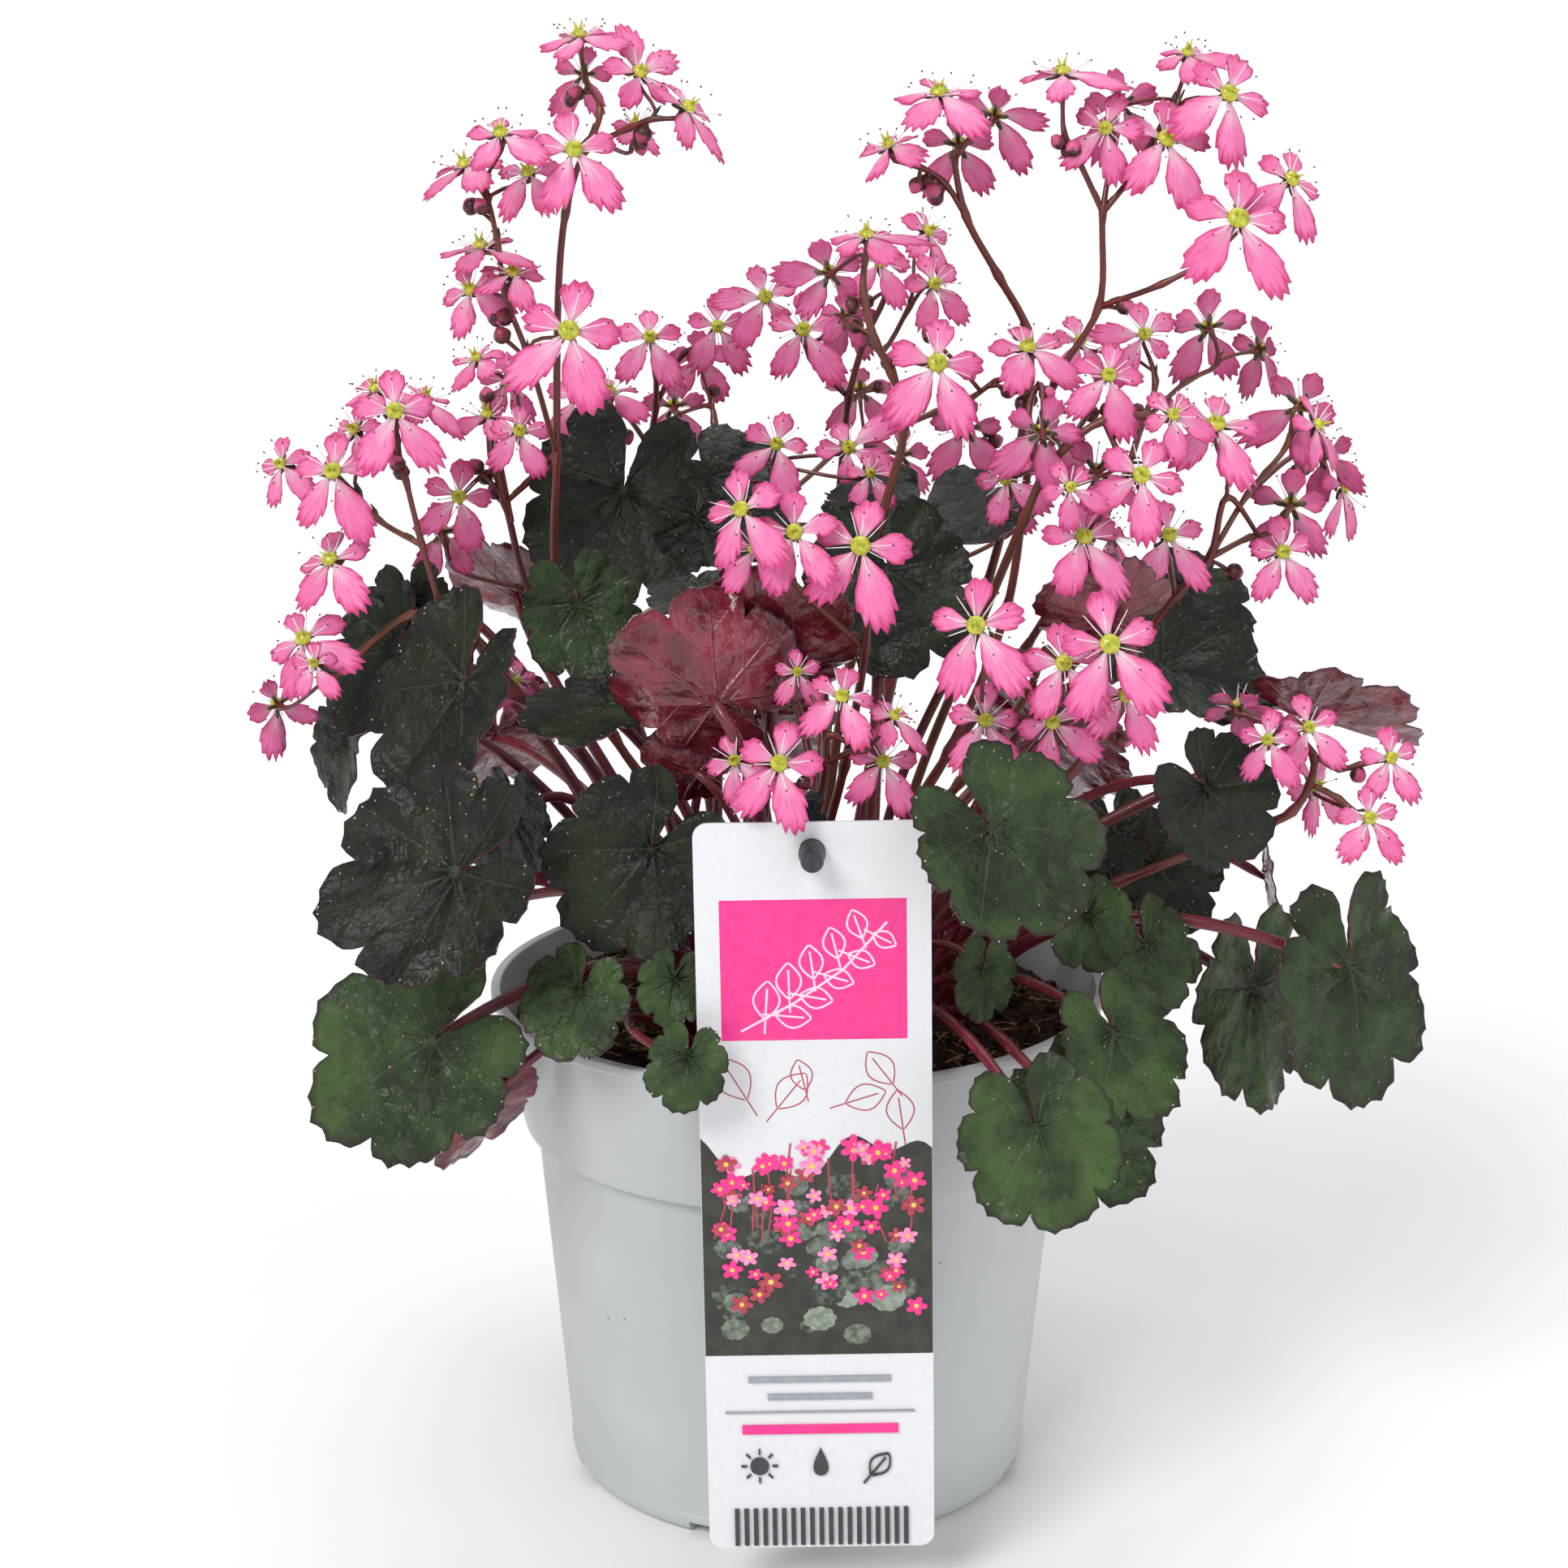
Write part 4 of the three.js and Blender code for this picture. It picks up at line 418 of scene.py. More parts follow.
# How green the upper side of a leaf is, from 0, black-green, to 1, mid green
LEAF_GREEN = {
    "leaf_low_left": 0.85,
    "leaves_rim_left": 0.85,
    "leaf_pot_front": 1.0,
    "leaf_pot_behind": 1.0,
    "leaf_rim_right": 0.95,
    "leaves_young_right": 0.9,
    "leaf_right_small": 0.7,
    "leaf_front_right": 0.55,
    "leaf_hanging_right": 0.8,
    "leaf_far_right": 0.6,
    "leaf_green_cup": 0.5,
    "leaf_green_flat": 0.3,
}
DARK_LEAF = 0.08


# Vectors

UP = np.array([0.0, 0.0, 1.0])


def length(v):
    return float(np.sqrt((v * v).sum()))


def unit(v):
    return v / (length(v) or 1.0)


def basis_of(face, tilt, turn):
    """Directions of a leaf or flower: its normal, the way its tip points, and across."""
    f, t, swing = math.radians(face), math.radians(tilt), math.radians(turn)
    normal = np.array([math.sin(f) * math.cos(t), -math.cos(f) * math.cos(t), math.sin(t)])
    downhill = np.array([math.sin(f) * math.sin(t), -math.cos(f) * math.sin(t), -math.cos(t)])
    tip = downhill * math.cos(swing) + np.cross(normal, downhill) * math.sin(swing)
    return dict(normal=normal, tip=tip, across=np.cross(tip, normal))


# Leaf blades

SINUS_HALF = math.radians(9)
HUB_SHARE = 0.22
BLADE_TURN = 2 * math.pi - 2 * SINUS_HALF


def body_share(angle):
    """The edge's distance without its notches."""
    return 0.47 + 0.09 * np.cos(angle) + 0.035 * np.cos(2 * angle)


def edge_share(angle):
    """Distance from the stalk's joint to the edge at an angle from the tip, as a share of the width."""
    along = (angle + math.pi - SINUS_HALF) / BLADE_TURN * LOBES
    notch = np.abs(2 * (along - np.floor(along)) - 1) ** 3
    return body_share(angle) * (1 - 0.13 * notch)


def placed(item, origin, x, y, high):
    """Points across, towards the tip and above a leaf or flower, from a point of it."""
    x, y, high = (np.asarray(part, float)[..., None] for part in (x, y, high))
    return origin + x * item.across + y * item.tip + high * item.normal


def blade_at(leaf, x, y, lift):
    """A point of the blade, with x across and y towards the tip, from the stalk's joint."""
    hub = HUB_SHARE * leaf.width
    bowl = leaf.cup * (x * x + (y - hub) ** 2 - hub * hub) / leaf.width
    share = np.hypot(x, y) / (0.5 * leaf.width)
    wave = 0.022 * leaf.width * share * share * np.sin(3 * np.arctan2(x, y) + leaf.u)
    return placed(leaf, leaf.joint, x, y, bowl + leaf.fold * np.abs(x) + wave + lift)


# Flowers: two long petals hang and three short ones stand, each with its angle, reach and half width

PETALS = [(-31, LONG_PETAL, 23), (31, LONG_PETAL * 0.9, 23)]
PETALS += [(104, SHORT_PETAL, 22), (180, SHORT_PETAL * 1.05, 22), (256, SHORT_PETAL, 22)]
PETAL_SAMPLES = (0.35, 0.65, 0.95)
BLOOM_BACK = 1


def bloom_point(bloom, angle, radius, lift):
    """A point of a flower, out from its centre at an angle from its tip. The petals curve back."""
    reflex = -0.012 * radius * radius * (1 - 0.35 * np.cos(angle))
    x, y = bloom.size * radius * np.sin(angle), bloom.size * radius * np.cos(angle)
    return placed(bloom, bloom.centre, x, y, bloom.size * reflex + lift)


def back_of(bloom):
    return bloom_point(bloom, 0.0, 0.0, -BLOOM_BACK)


# What stands where, as small balls: hard ones are stems, the pot and the label, soft ones blades and petals


class Balls:
    """Balls placed so far, and how much a row of points would run into them."""

    tags = {}

    def __init__(self, weight):
        self.weight = weight
        self.rows = np.zeros((0, 4))
        self.owners = np.zeros(0, int)
        self.waiting = []

    def add(self, tag, points, radius):
        number = self.tags.setdefault(tag, len(self.tags))
        for point in np.atleast_2d(points):
            self.waiting.append((number, *point, radius))

    def settle(self):
        if self.waiting:
            new = np.array(self.waiting)
            self.rows = np.concatenate([self.rows, new[:, 1:]])
            self.owners = np.concatenate([self.owners, new[:, 0].astype(int)])
            self.waiting = []

    def cost(self, tag, points, radius):
        self.settle()
        number = self.tags.setdefault(tag, len(self.tags))
        need = (radius + self.rows[:, 3] + GAP)[:, None]
        centres = self.rows[:, :3]
        near = ((centres > points.min(0) - need) & (centres < points.max(0) + need)).all(1)
        near &= self.owners != number
        apart = np.sqrt(((centres[near][:, None] - points[None]) ** 2).sum(2))
        return self.weight * np.clip(need[near] - apart, 0, None).sum()


HARD_WEIGHT = 6
SOFT_WEIGHT = 0.5
hard, soft = Balls(HARD_WEIGHT), Balls(SOFT_WEIGHT)
BLADE_BALL = 2
PETAL_BALL = 1.6
EYE = np.array([VIEW.x, VIEW.y, VIEW.z])
SHIFTS = [0, -3, 3, -6, 6, -9, 9, -13, 13, -18, 18]


def crossing(owner, item, points, radius):
    return hard.cost(owner, points, radius) + soft.cost(item, points, radius)


def slide(owner, item, anchor, samples, radius):
    """Slides a blade or flower along the line of sight to where it crosses least, and returns its anchor."""
    sight = unit(anchor - EYE)
    costs = [crossing(owner, item, samples + sight * s, radius) + 0.1 * abs(s) for s in SHIFTS]
    shift = SHIFTS[int(np.argmin(costs))]
    soft.add(item, samples + sight * shift, radius)
    return anchor + sight * shift


SAMPLE_SPACING = 2.6
BEND_STEPS = [0, -7, 7, -15, 15, -26, 26]
LIFT_STEPS = [0, 8, -8]
END_SAMPLES = 3
BENDS = [(abs(a) + abs(b) + abs(c), a, b, c) for c in LIFT_STEPS for a in BEND_STEPS for b in BEND_STEPS]
BENDS.sort(key=lambda bend: bend[0])


def samples_along(points):
    """Even samples along straight stretches."""
    samples = []
    for a, b in zip(points, points[1:]):
        count = max(1, math.floor(length(b - a) / SAMPLE_SPACING + 0.5))
        samples += [a + (b - a) * (k / count) for k in range(count)]
    return np.array(samples + [points[-1]])


def bezier(curve, count):
    t = (np.arange(count + 1) / count)[:, None]
    a, b, c, d = curve
    k = 1 - t
    return k * k * k * a + 3 * k * k * t * b + 3 * k * t * t * c + t * t * t * d


def clear_route(owner, item, start, leave, end, arrive, radius, steps):
    """The least bent of the free curves from start to end, or else the least crossed."""
    flat = end - start
    sideways = np.array([-flat[1], flat[0], 0.0])
    sideways = np.array([1.0, 0.0, 0.0]) if length(sideways) < 1 else unit(sideways)
    best = None
    for effort, first, second, lift in BENDS if steps > 1 else BENDS[:1]:
        curve = [
            start,
            start + leave + sideways * first + UP * 0.6 * lift,
            end - arrive + sideways * second + UP * lift,
            end,
        ]
        points = bezier(curve, steps)
        samples = samples_along(points)[:-END_SAMPLES]
        cost = crossing(owner, item, samples, radius) if len(samples) else 0.0
        for p in samples:
            sunk = SOIL_TOP + radius + 0.5 - p[2]
            if sunk > 0 and length(p - start) > 4 * STEM_DEPTH and math.hypot(p[0], p[1]) < RIM_RADIUS:
                cost += HARD_WEIGHT * sunk
        total = cost + 0.004 * effort
        if best is None or total < best[0]:
            best = (total, points, curve)
        if cost == 0:
            break
    hard.add(owner, samples_along(best[1]), radius)
    return best[1], best[2]


def band_radius(z):
    """Outer radius of the pot's rim band at a height."""
    return BAND_FOOT_RADIUS + (RIM_RADIUS - BAND_FOOT_RADIUS) * (z - POT_HEIGHT + BAND_HEIGHT) / BAND_HEIGHT


# The pot's band and the label are in the way too
for z in range(POT_HEIGHT - BAND_HEIGHT, POT_HEIGHT + 1, 4):
    r = band_radius(z) - 1
    for k in range(90):
        hard.add("pot", [r * math.cos(k * math.pi / 45), r * math.sin(k * math.pi / 45), z], 2.4)
for z in np.arange(CARD_BOTTOM, CARD_TOP, 5):
    for x in range(-CARD_WIDTH // 2, CARD_WIDTH // 2 + 1, 6):
        hard.add("label", [CARD_X + x, CARD_Y, z], 3)
for z in np.arange(SOIL_TOP, CARD_TOP, 3):
    hard.add("stake", [CARD_X, STAKE_Y, z], 2.4)

# Places on the soil where stems come up
free_spots = []
for k in range(STEM_SPOTS):
    r = STEM_SPACING * SPIRAL_SHARE * math.sqrt(k + 0.5)
    free_spots.append((r * math.cos(k * GOLDEN_ANGLE), r * math.sin(k * GOLDEN_ANGLE)))


def take_spot(x, y):
    best = min(free_spots, key=lambda spot: math.hypot(spot[0] - x, spot[1] - y))
    free_spots.remove(best)
    return np.array([best[0], best[1], SOIL_TOP - STEM_DEPTH])


sprays = []
for name, plan in SPRAYS.items():
    known = []
    for line in plan["lines"]:
        known.append([seen(*row) if len(row) == 3 else known[row[0]][row[1]] for row in line])
    sprays.append(SimpleNamespace(name=name, lines=known, taken={}, plan=plan))
for spray in sprays:
    for i, points in enumerate(spray.lines):
        hard.add(spray.name, samples_along(points), STEM_RADIUS if i == 0 else BRANCH_RADIUS)

LEAF_FIELDS = ["u", "v", "y", "width", "face", "tilt", "turn", "cup", "fold"]
clumps = []
for name, rows in LEAVES.items():
    leaves = []
    for i, row in enumerate(rows):
        leaf = SimpleNamespace(name=f"{name}/{i}", clump=name, **dict(zip(LEAF_FIELDS, row)))
        leaf.joint = seen(leaf.u, leaf.v, leaf.y)
        vars(leaf).update(basis_of(leaf.face, leaf.tilt, leaf.turn))
        samples = []
        for ring in range(1, 5):
            angle = -math.pi + SINUS_HALF + BLADE_TURN * (np.arange(4 * ring) + 0.5) / (4 * ring)
            r = leaf.width * edge_share(angle) * (ring - 0.2) / 4
            samples.append(blade_at(leaf, r * np.sin(angle), r * np.cos(angle), 0.0))
        leaf.joint = slide(name, leaf.name, leaf.joint, np.concatenate(samples), BLADE_BALL)
        leaves.append(leaf)
    clumps.append(SimpleNamespace(name=name, leaves=leaves))

BLOOM_FIELDS = ["u", "v", "y", "face", "tilt", "size", "swing"]
for spray in sprays:
    spray.blooms = []
    for i, row in enumerate(spray.plan["blooms"]):
        bloom = SimpleNamespace(name=f"{spray.name}/{i}", stalk=None, **dict(zip(BLOOM_FIELDS, row)))
        bloom.centre = seen(bloom.u, bloom.v, bloom.y)
        vars(bloom).update(basis_of(bloom.face, bloom.tilt, bloom.swing))
        samples = [bloom.centre]
        for angle, reach, _ in PETALS:
            samples += [bloom_point(bloom, math.radians(angle), reach * s, 0.0) for s in PETAL_SAMPLES]
        bloom.centre = slide(spray.name, bloom.name, bloom.centre, np.array(samples), PETAL_BALL)
        spray.blooms.append(bloom)

for spray in sprays:
    low, onward = spray.lines[0][:2]
    spot = take_spot(low[0] * SPRAY_ROOT_SHARE, low[1] * SPRAY_ROOT_SHARE)
    rise = low[2] - spot[2]
    arrive = unit(onward - low) * 0.35 * rise
    leave, radius = UP * 0.45 * rise, STEM_RADIUS * 1.15
    points, _ = clear_route(spray.name, spray.name, spot, leave, low, arrive, radius, 3)
    spray.stem = [*points, *spray.lines[0][1:]]

for clump in clumps:
    middle = sum(leaf.joint for leaf in clump.leaves) / len(clump.leaves)
    reach = math.hypot(middle[0], middle[1])
    away = min(LEAF_ROOT_FAR, LEAF_ROOT_NEAR + LEAF_ROOT_SHARE * reach)
    clump.spot = take_spot(middle[0] / reach * away, middle[1] / reach * away)
    for i, leaf in enumerate(clump.leaves):
        foot = clump.spot + SHARED_ROOT_STEP * i * np.array([1.0, 0.0, -1.0])
        leaf.stalk_radius = PETIOLE_RADIUS * math.sqrt(leaf.width / COMMON_WIDTH)
        end = leaf.joint + leaf.tip * 0.04 * leaf.width
        span = length(end - clump.spot)
        low = leaf.joint[2] < POT_HEIGHT + 35
        outward = 0.12 if low else 0.05
        leave = np.array([end[0] * outward, end[1] * outward, span * (0.55 if low else 0.4)])
        arrive = leaf.normal * 0.5 + leaf.tip * 0.5
        if low:
            arrive[2] = min(arrive[2], -0.25)
        arrive, radius = unit(arrive) * 0.28 * span, leaf.stalk_radius
        _, leaf.curve = clear_route(clump.name, leaf.name, foot, leave, end, arrive, radius, 3)


def nearest_fork(spray, point):
    """The branch point that a flower's stalk grows from, and the way the stem goes on there."""
    best = None
    for line in spray.lines:
        for i in range(1, len(line)):
            p = line[i]
            d = length(p - point) + 0.6 * max(0, p[2] - point[2]) + (0 if i == len(line) - 1 else 5)
            if best is None or d < best[0]:
                best = (d, p, line[i - 1])
    _, p, before = best
    taken = spray.taken.get(id(p), 0)
    spray.taken[id(p)] = taken + 1
    back = unit(before - p)
    return p + back * FORK_SPACING * (taken + 0.3), -back


for spray in sprays:
    spray.ends = []
    for i, line in enumerate(spray.lines):
        free = [bloom for bloom in spray.blooms if bloom.stalk is None]
        bloom = min(free, key=lambda each: length(each.centre - line[-1]))
        route = spray.stem if i == 0 else line
        end = back_of(bloom)
        approach = end - bloom.normal * 0.35 * length(end - route[-1])
        hard.add(spray.name, samples_along([route[-1], approach, end]), PEDICEL_RADIUS)
        bloom.stalk = "line"
        start, stop = (STEM_RADIUS * 1.1, BRANCH_RADIUS) if i == 0 else (BRANCH_RADIUS, BRANCH_RADIUS * 0.85)
        radii = list(np.linspace(start, stop, len(route))) + [PEDICEL_RADIUS, PEDICEL_RADIUS]
        spray.ends.append(([*route, approach, end], radii))
    spray.stalks = []
    for bloom in [each for each in spray.blooms if each.stalk is None]:
        start, onward = nearest_fork(spray, bloom.centre)
        end = back_of(bloom)
        span = length(end - start)
        leave = onward * 0.3 * span + UP * 0.1 * span
        steps = 2 if span > LONG_STALK else 1
        arrive = bloom.normal * 0.35 * span
        _, curve = clear_route(spray.name, bloom.name, start, leave, end, arrive, PEDICEL_RADIUS, steps)
        spray.stalks.append(curve)
    spray.buds = []
    for row in spray.plan["buds"]:
        tip = seen(*row)
        start, _ = nearest_fork(spray, tip)
        grow = unit(tip - start + UP * 2)
        hard.add(spray.name, tip, BUD_RADIUS)
        spray.buds.append((start, tip - grow * 2 * BUD_RADIUS, tip))


# Meshes. Each point has a form of four numbers for the shaders: on a blade or petal how far out it is, its
# place in the lobe, its share of the way to the edge, and the tone; on a tube how far along it is, its place
# around, its share of the length, and the tone

PLAIN = (0, 0, 0, 0)
MIDDLE = (0, 0, 0, 0.5)
BLADE_UNIT = 50
PETAL_UNIT = 20
TUBE_UNIT = 100


def turns(count):
    """Even angles around a circle."""
    return 2 * math.pi * np.arange(count) / count


class Shell:
    """Gathers closed bodies for one piece."""

    def __init__(self):
        self.points, self.forms, self.faces, self.slots = [], [], [], []
        self.count = 0

    def add(self, points, faces, slot=0, form=PLAIN):
        """Adds points and groups of faces, with one material slot or a list of one for each group."""
        points = np.asarray(points, float).reshape(-1, 3)
        self.points.append(points)
        self.forms.append(np.broadcast_to(np.asarray(form, float), (len(points), 4)))
        for group, number in zip(faces, slot if isinstance(slot, list) else [slot] * len(faces)):
            rows = [[int(i) + self.count for i in face] for face in group]
            self.faces += rows
            self.slots += [number] * len(rows)
        self.count += len(points)

    def build(self, name, materials, sharp=None):
        """Makes the object, with edges sharp from some angle in degrees where one is given."""
        mesh = bpy.data.meshes.new(name)
        mesh.from_pydata((np.concatenate(self.points) * MM).tolist(), [], self.faces)
        for material in materials:
            mesh.materials.append(material)
        mesh.polygons.foreach_set("material_index", self.slots)
        mesh.polygons.foreach_set("use_smooth", [True] * len(self.faces))
        form = mesh.attributes.new("form", "FLOAT_COLOR", "POINT")
        form.data.foreach_set("color", np.concatenate(self.forms).astype(np.float32).ravel())
        if sharp is not None:
            mesh.set_sharp_from_angle(angle=math.radians(sharp))
        mesh.update()
        piece = bpy.data.objects.new(name, mesh)
        bpy.context.scene.collection.objects.link(piece)
        return piece


def grid_faces(rows, cols, first=0, wrap=False):
    """Quads of a grid of points numbered row by row."""
    i = np.arange(rows - 1)[:, None]
    j = np.arange(cols if wrap else cols - 1)[None]
    a = first + i * cols + j
    b = first + i * cols + (j + 1) % cols
    return np.stack([a, b, b + cols, a + cols], -1).reshape(-1, 4)


def add_fan(shell, hubs, tops, unders, slots, form, hub_form=None):
    """A closed thin plate: a hub and rows of points around it, alike on both sides."""
    rows, cols = tops.shape[:2]
    count = 1 + rows * cols
    points = [np.vstack([hub, side.reshape(-1, 3)]) for hub, side in zip(hubs, (tops, unders))]
    form = np.stack(np.broadcast_arrays(*form, np.zeros((rows, cols)))[:4], -1).reshape(-1, 4)
    form = np.vstack([form[0] if hub_form is None else hub_form, form])
    j = np.arange(1, cols)
    fan = np.stack([0 * j, j + 1, j], -1)
    quads = grid_faces(rows, cols, 1)
    side = 1 + np.arange(rows) * cols
    loop = np.concatenate([[0], side, side[-1] + j, side[:-1][::-1] + cols - 1])
    ahead = np.roll(loop, -1)
    rim = np.stack([loop, ahead, ahead + count, loop + count], -1)
    faces = [fan, quads, fan[:, ::-1] + count, quads[:, ::-1] + count, rim]
    top, under = slots
    shell.add(np.concatenate(points), faces, [top, top, under, under, under], np.concatenate([form, form]))


def add_tube(shell, points, radii, sides, slot, tone, squash=1.0):
    """A closed tube through points, each with its own radius."""
    points = np.asarray(points, float)
    along = np.concatenate([points[1:], points[-1:]]) - np.concatenate([points[:1], points[:-1]])
    along /= np.maximum(np.linalg.norm(along, axis=1), 1e-9)[:, None]
    side = np.array([1.0, 0.2, 0.1])
    rings, turn = [], turns(sides)
    c, s = np.cos(turn)[:, None], np.sin(turn)[:, None]
    for point, direction, radius in zip(points, along, radii):
        side = side - direction * side.dot(direction)
        side = unit(side) if length(side) > 1e-6 else unit(np.cross(direction, UP + 0.1))
        rings.append(point + radius * (c * side + squash * s * np.cross(direction, side)))
    count = len(points)
    travelled = np.concatenate([[0], np.cumsum(np.linalg.norm(np.diff(points, axis=0), axis=1))])
    form = np.zeros((count, sides, 4))
    form[..., 0] = travelled[:, None] / TUBE_UNIT
    form[..., 1] = np.abs(np.sin(turn))[None]
    form[..., 2] = (np.arange(count) / (count - 1))[:, None]
    form[..., 3] = tone
    caps = [list(range(sides))[::-1], [(count - 1) * sides + k for k in range(sides)]]
    shell.add(np.concatenate(rings), [grid_faces(count, sides, 0, True), caps], slot, form.reshape(-1, 4))


FAR_AWAY = 99.0


def smooth_line(points, radii, spacing):
    """A smooth line through points, the radii along it, and each place's distance from the nearest point."""
    p = [2 * points[0] - points[1], *points, 2 * points[-1] - points[-2]]
    line, width, knots = [], [], []
    for i in range(1, len(p) - 2):
        before, a, b, after = p[i - 1 : i + 3]
        gaps = [max(length(q - r) ** 0.5, 1e-3) for q, r in ((a, before), (b, a), (after, b))]
        leave = gaps[1] * ((a - before) / gaps[0] - (b - before) / (gaps[0] + gaps[1]) + (b - a) / gaps[1])
        arrive = gaps[1] * ((b - a) / gaps[1] - (after - a) / (gaps[1] + gaps[2]) + (after - b) / gaps[2])
        span = length(b - a)
        count = max(2, math.ceil(span / spacing))
        for k in range(count):
            t = k / count
            line.append(
                (2 * t**3 - 3 * t**2 + 1) * a
                + (t**3 - 2 * t**2 + t) * leave
                + (3 * t**2 - 2 * t**3) * b
                + (t**3 - t**2) * arrive
            )
            width.append(radii[i - 1] + (radii[i] - radii[i - 1]) * t)
            knots.append(min(t, 1 - t) * span if 1 < i < len(p) - 3 else (1 - t if i == 1 else t) * span)
    line.append(points[-1])
    width.append(radii[-1])
    knots.append(FAR_AWAY)
    return np.array(line), np.array(width), np.array(knots)


HAIR_SPACING = 1.6
HAIR_LENGTH = 1.7
HAIR_ROOT = 0.15
HAIR_FACES = [[0, 1, 2], [0, 3, 1], [1, 3, 2], [2, 3, 0]]


def add_hairs(shell, line, radii, draw):
    """Fine hairs on a stalk, each a slim closed needle."""
    for i in range(1, len(line) - 1):
        direction = unit(line[i + 1] - line[i - 1])
        side = unit(np.cross(direction, UP + 0.01))
        other = np.cross(direction, side)
        step = length(line[i + 1] - line[i])
        for _ in range(max(1, round(step / HAIR_SPACING))):
            a = draw.uniform(0, 2 * math.pi)
            out = math.cos(a) * side + math.sin(a) * other
            foot = line[i] + direction * draw.uniform(-0.5, 0.5) * step + out * (radii[i] - HAIR_ROOT)
            tip = foot + (out + direction * draw.uniform(-0.3, 0.5)) * HAIR_LENGTH * draw.uniform(0.5, 1.0)
            across = 0.035 * np.cross(out, direction)
            along = 0.06 * direction
            corners = [foot + 2 * across, foot - across + along, foot - across - along, tip]
            shell.add(corners, [HAIR_FACES], HAIR, MIDDLE)


# Blades

HUB_SINK = 0.4
STALK_SINK = 0.9
STALK_SIDES = 9
STALK_SQUASH = 0.85
LOBE_SIZES = (0.95, 1.04)
SINUS_ROUNDING = 0.22
SINUS_REACH = math.radians(11)
TOOTH_SIZES = (0.25, 1.0)
TOOTH_DEPTH = 0.05
VEIN_DEPTH = 0.3
VEIN_WIDTH = 1.1
PUCKER = 0.5
RIPPLES = (0.012, 0.008)
SWELL = 0.008
EDGE_THINNING = 0.55
RINGS = np.array([0.08, 0.2, 0.34, 0.48, 0.62, 0.74, 0.84, 0.91, 0.955, 0.985, 1])
TOP, UNDER, STALK, HAIR = range(4)

# A blade that bends away behind another one where they would meet
BEHIND = {"leaf_low_left_under/0": "leaf_low_left/0"}
BEHIND_GAP = 1.4


def push_behind(name, points):
    """How far points have to move to lie behind a blade."""
    front = next(leaf for clump in clumps for leaf in clump.leaves if leaf.name == name)
    x, y = (points - front.joint) @ front.across, (points - front.joint) @ front.tip
    high = (points - blade_at(front, x, y, 0.0)) @ front.normal
    return -np.maximum(0, high + BEHIND_GAP)[..., None] * front.normal


def per_tooth(values, count):
    """Repeats each tooth's value over its four steps, for so many points."""
    return np.repeat(values, 4)[:count]


def add_blade(shell, leaf, tone, draw):
    """A lobed and toothed blade with sunk veins, puckers and a thin edge."""
    steps = 20 if leaf.width >= SMALL_LEAF else 16
    columns = LOBES * steps
    j = np.arange(columns + 1)
    angle = -math.pi + SINUS_HALF + BLADE_TURN * j / columns
    kink = np.abs(2 * ((j / steps) % 1) - 1)
    lobe_size = np.interp(j / steps, np.arange(LOBES) + 0.5, draw.uniform(*LOBE_SIZES, LOBES))
    corner = np.exp(-(((math.pi - SINUS_HALF - np.abs(angle)) / SINUS_REACH) ** 2))
    notch = 1 - 0.05 * kink**2 - 0.12 * kink**7
    edge = leaf.width * body_share(angle) * notch * lobe_size * (1 - SINUS_ROUNDING * corner)
    tooth_size = per_tooth(draw.uniform(*TOOTH_SIZES, columns // 4 + 1), columns + 1)
    tooth = TOOTH_DEPTH * tooth_size * (1 - np.abs((j % 4) / 2 - 1)) ** 1.5
    share = RINGS[:, None]
    r = share * edge[None] * (1 + tooth * share**12)
    x, y = r * np.sin(angle), r * np.cos(angle)
    apart = r * np.sin(kink * math.pi / LOBES * 0.95)
    phase = draw.uniform(0, 6.28, 4)
    near = np.exp(-((r / (0.2 * leaf.width)) ** 2))
    vein = -VEIN_DEPTH * np.exp(-((apart / VEIN_WIDTH) ** 2)) * (0.25 + near)
    pucker = PUCKER * near * np.sin(r * 1.3 + 5 * kink + phase[0])
    ripple = RIPPLES[0] * leaf.width * share**4 * np.sin(LOBES * angle + phase[1])
    ripple = ripple + RIPPLES[1] * leaf.width * share**3 * np.sin(2.3 * LOBES * angle + phase[2])
    swell = SWELL * leaf.width * np.sin(4 * share + 3 * np.sin(2 * angle + phase[3]))
    relief = vein + pucker + ripple + swell
    half = BLADE_THICKNESS / 2 * (1 - EDGE_THINNING * share**6)
    tops, unders = (blade_at(leaf, x, y, relief + side * half) for side in (1, -1))
    if leaf.name in BEHIND:
        push = push_behind(BEHIND[leaf.name], (tops + unders) / 2)
        tops, unders = tops + push, unders + push
    hubs = [blade_at(leaf, 0, 0, side * BLADE_THICKNESS / 2 - HUB_SINK) for side in (1, -1)]
    add_fan(shell, hubs, tops, unders, (TOP, UNDER), (r / BLADE_UNIT, kink, share, tone), (0, 0, 0, tone))


def make_clump(clump, seed):
    """The leaves that come up from one foot, with their hairy stalks."""
    draw = np.random.default_rng(seed)
    shell = Shell()
    tone = LEAF_GREEN.get(clump.name, DARK_LEAF)
    for leaf in clump.leaves:
        add_blade(shell, leaf, tone + draw.uniform(-0.05, 0.05), draw)
        curve = [*leaf.curve[:2], *(p - leaf.normal * STALK_SINK for p in leaf.curve[2:])]
        line = bezier(curve, max(16, round(length(curve[3] - curve[0]) / 4)))
        radii = leaf.stalk_radius * np.linspace(0.9, 0.66, len(line))
        radii[-1] *= 0.5
        add_tube(shell, line, radii, STALK_SIDES, STALK, draw.uniform(0, 1), STALK_SQUASH)
        add_hairs(shell, line, radii, draw)
    return shell


# Flowers

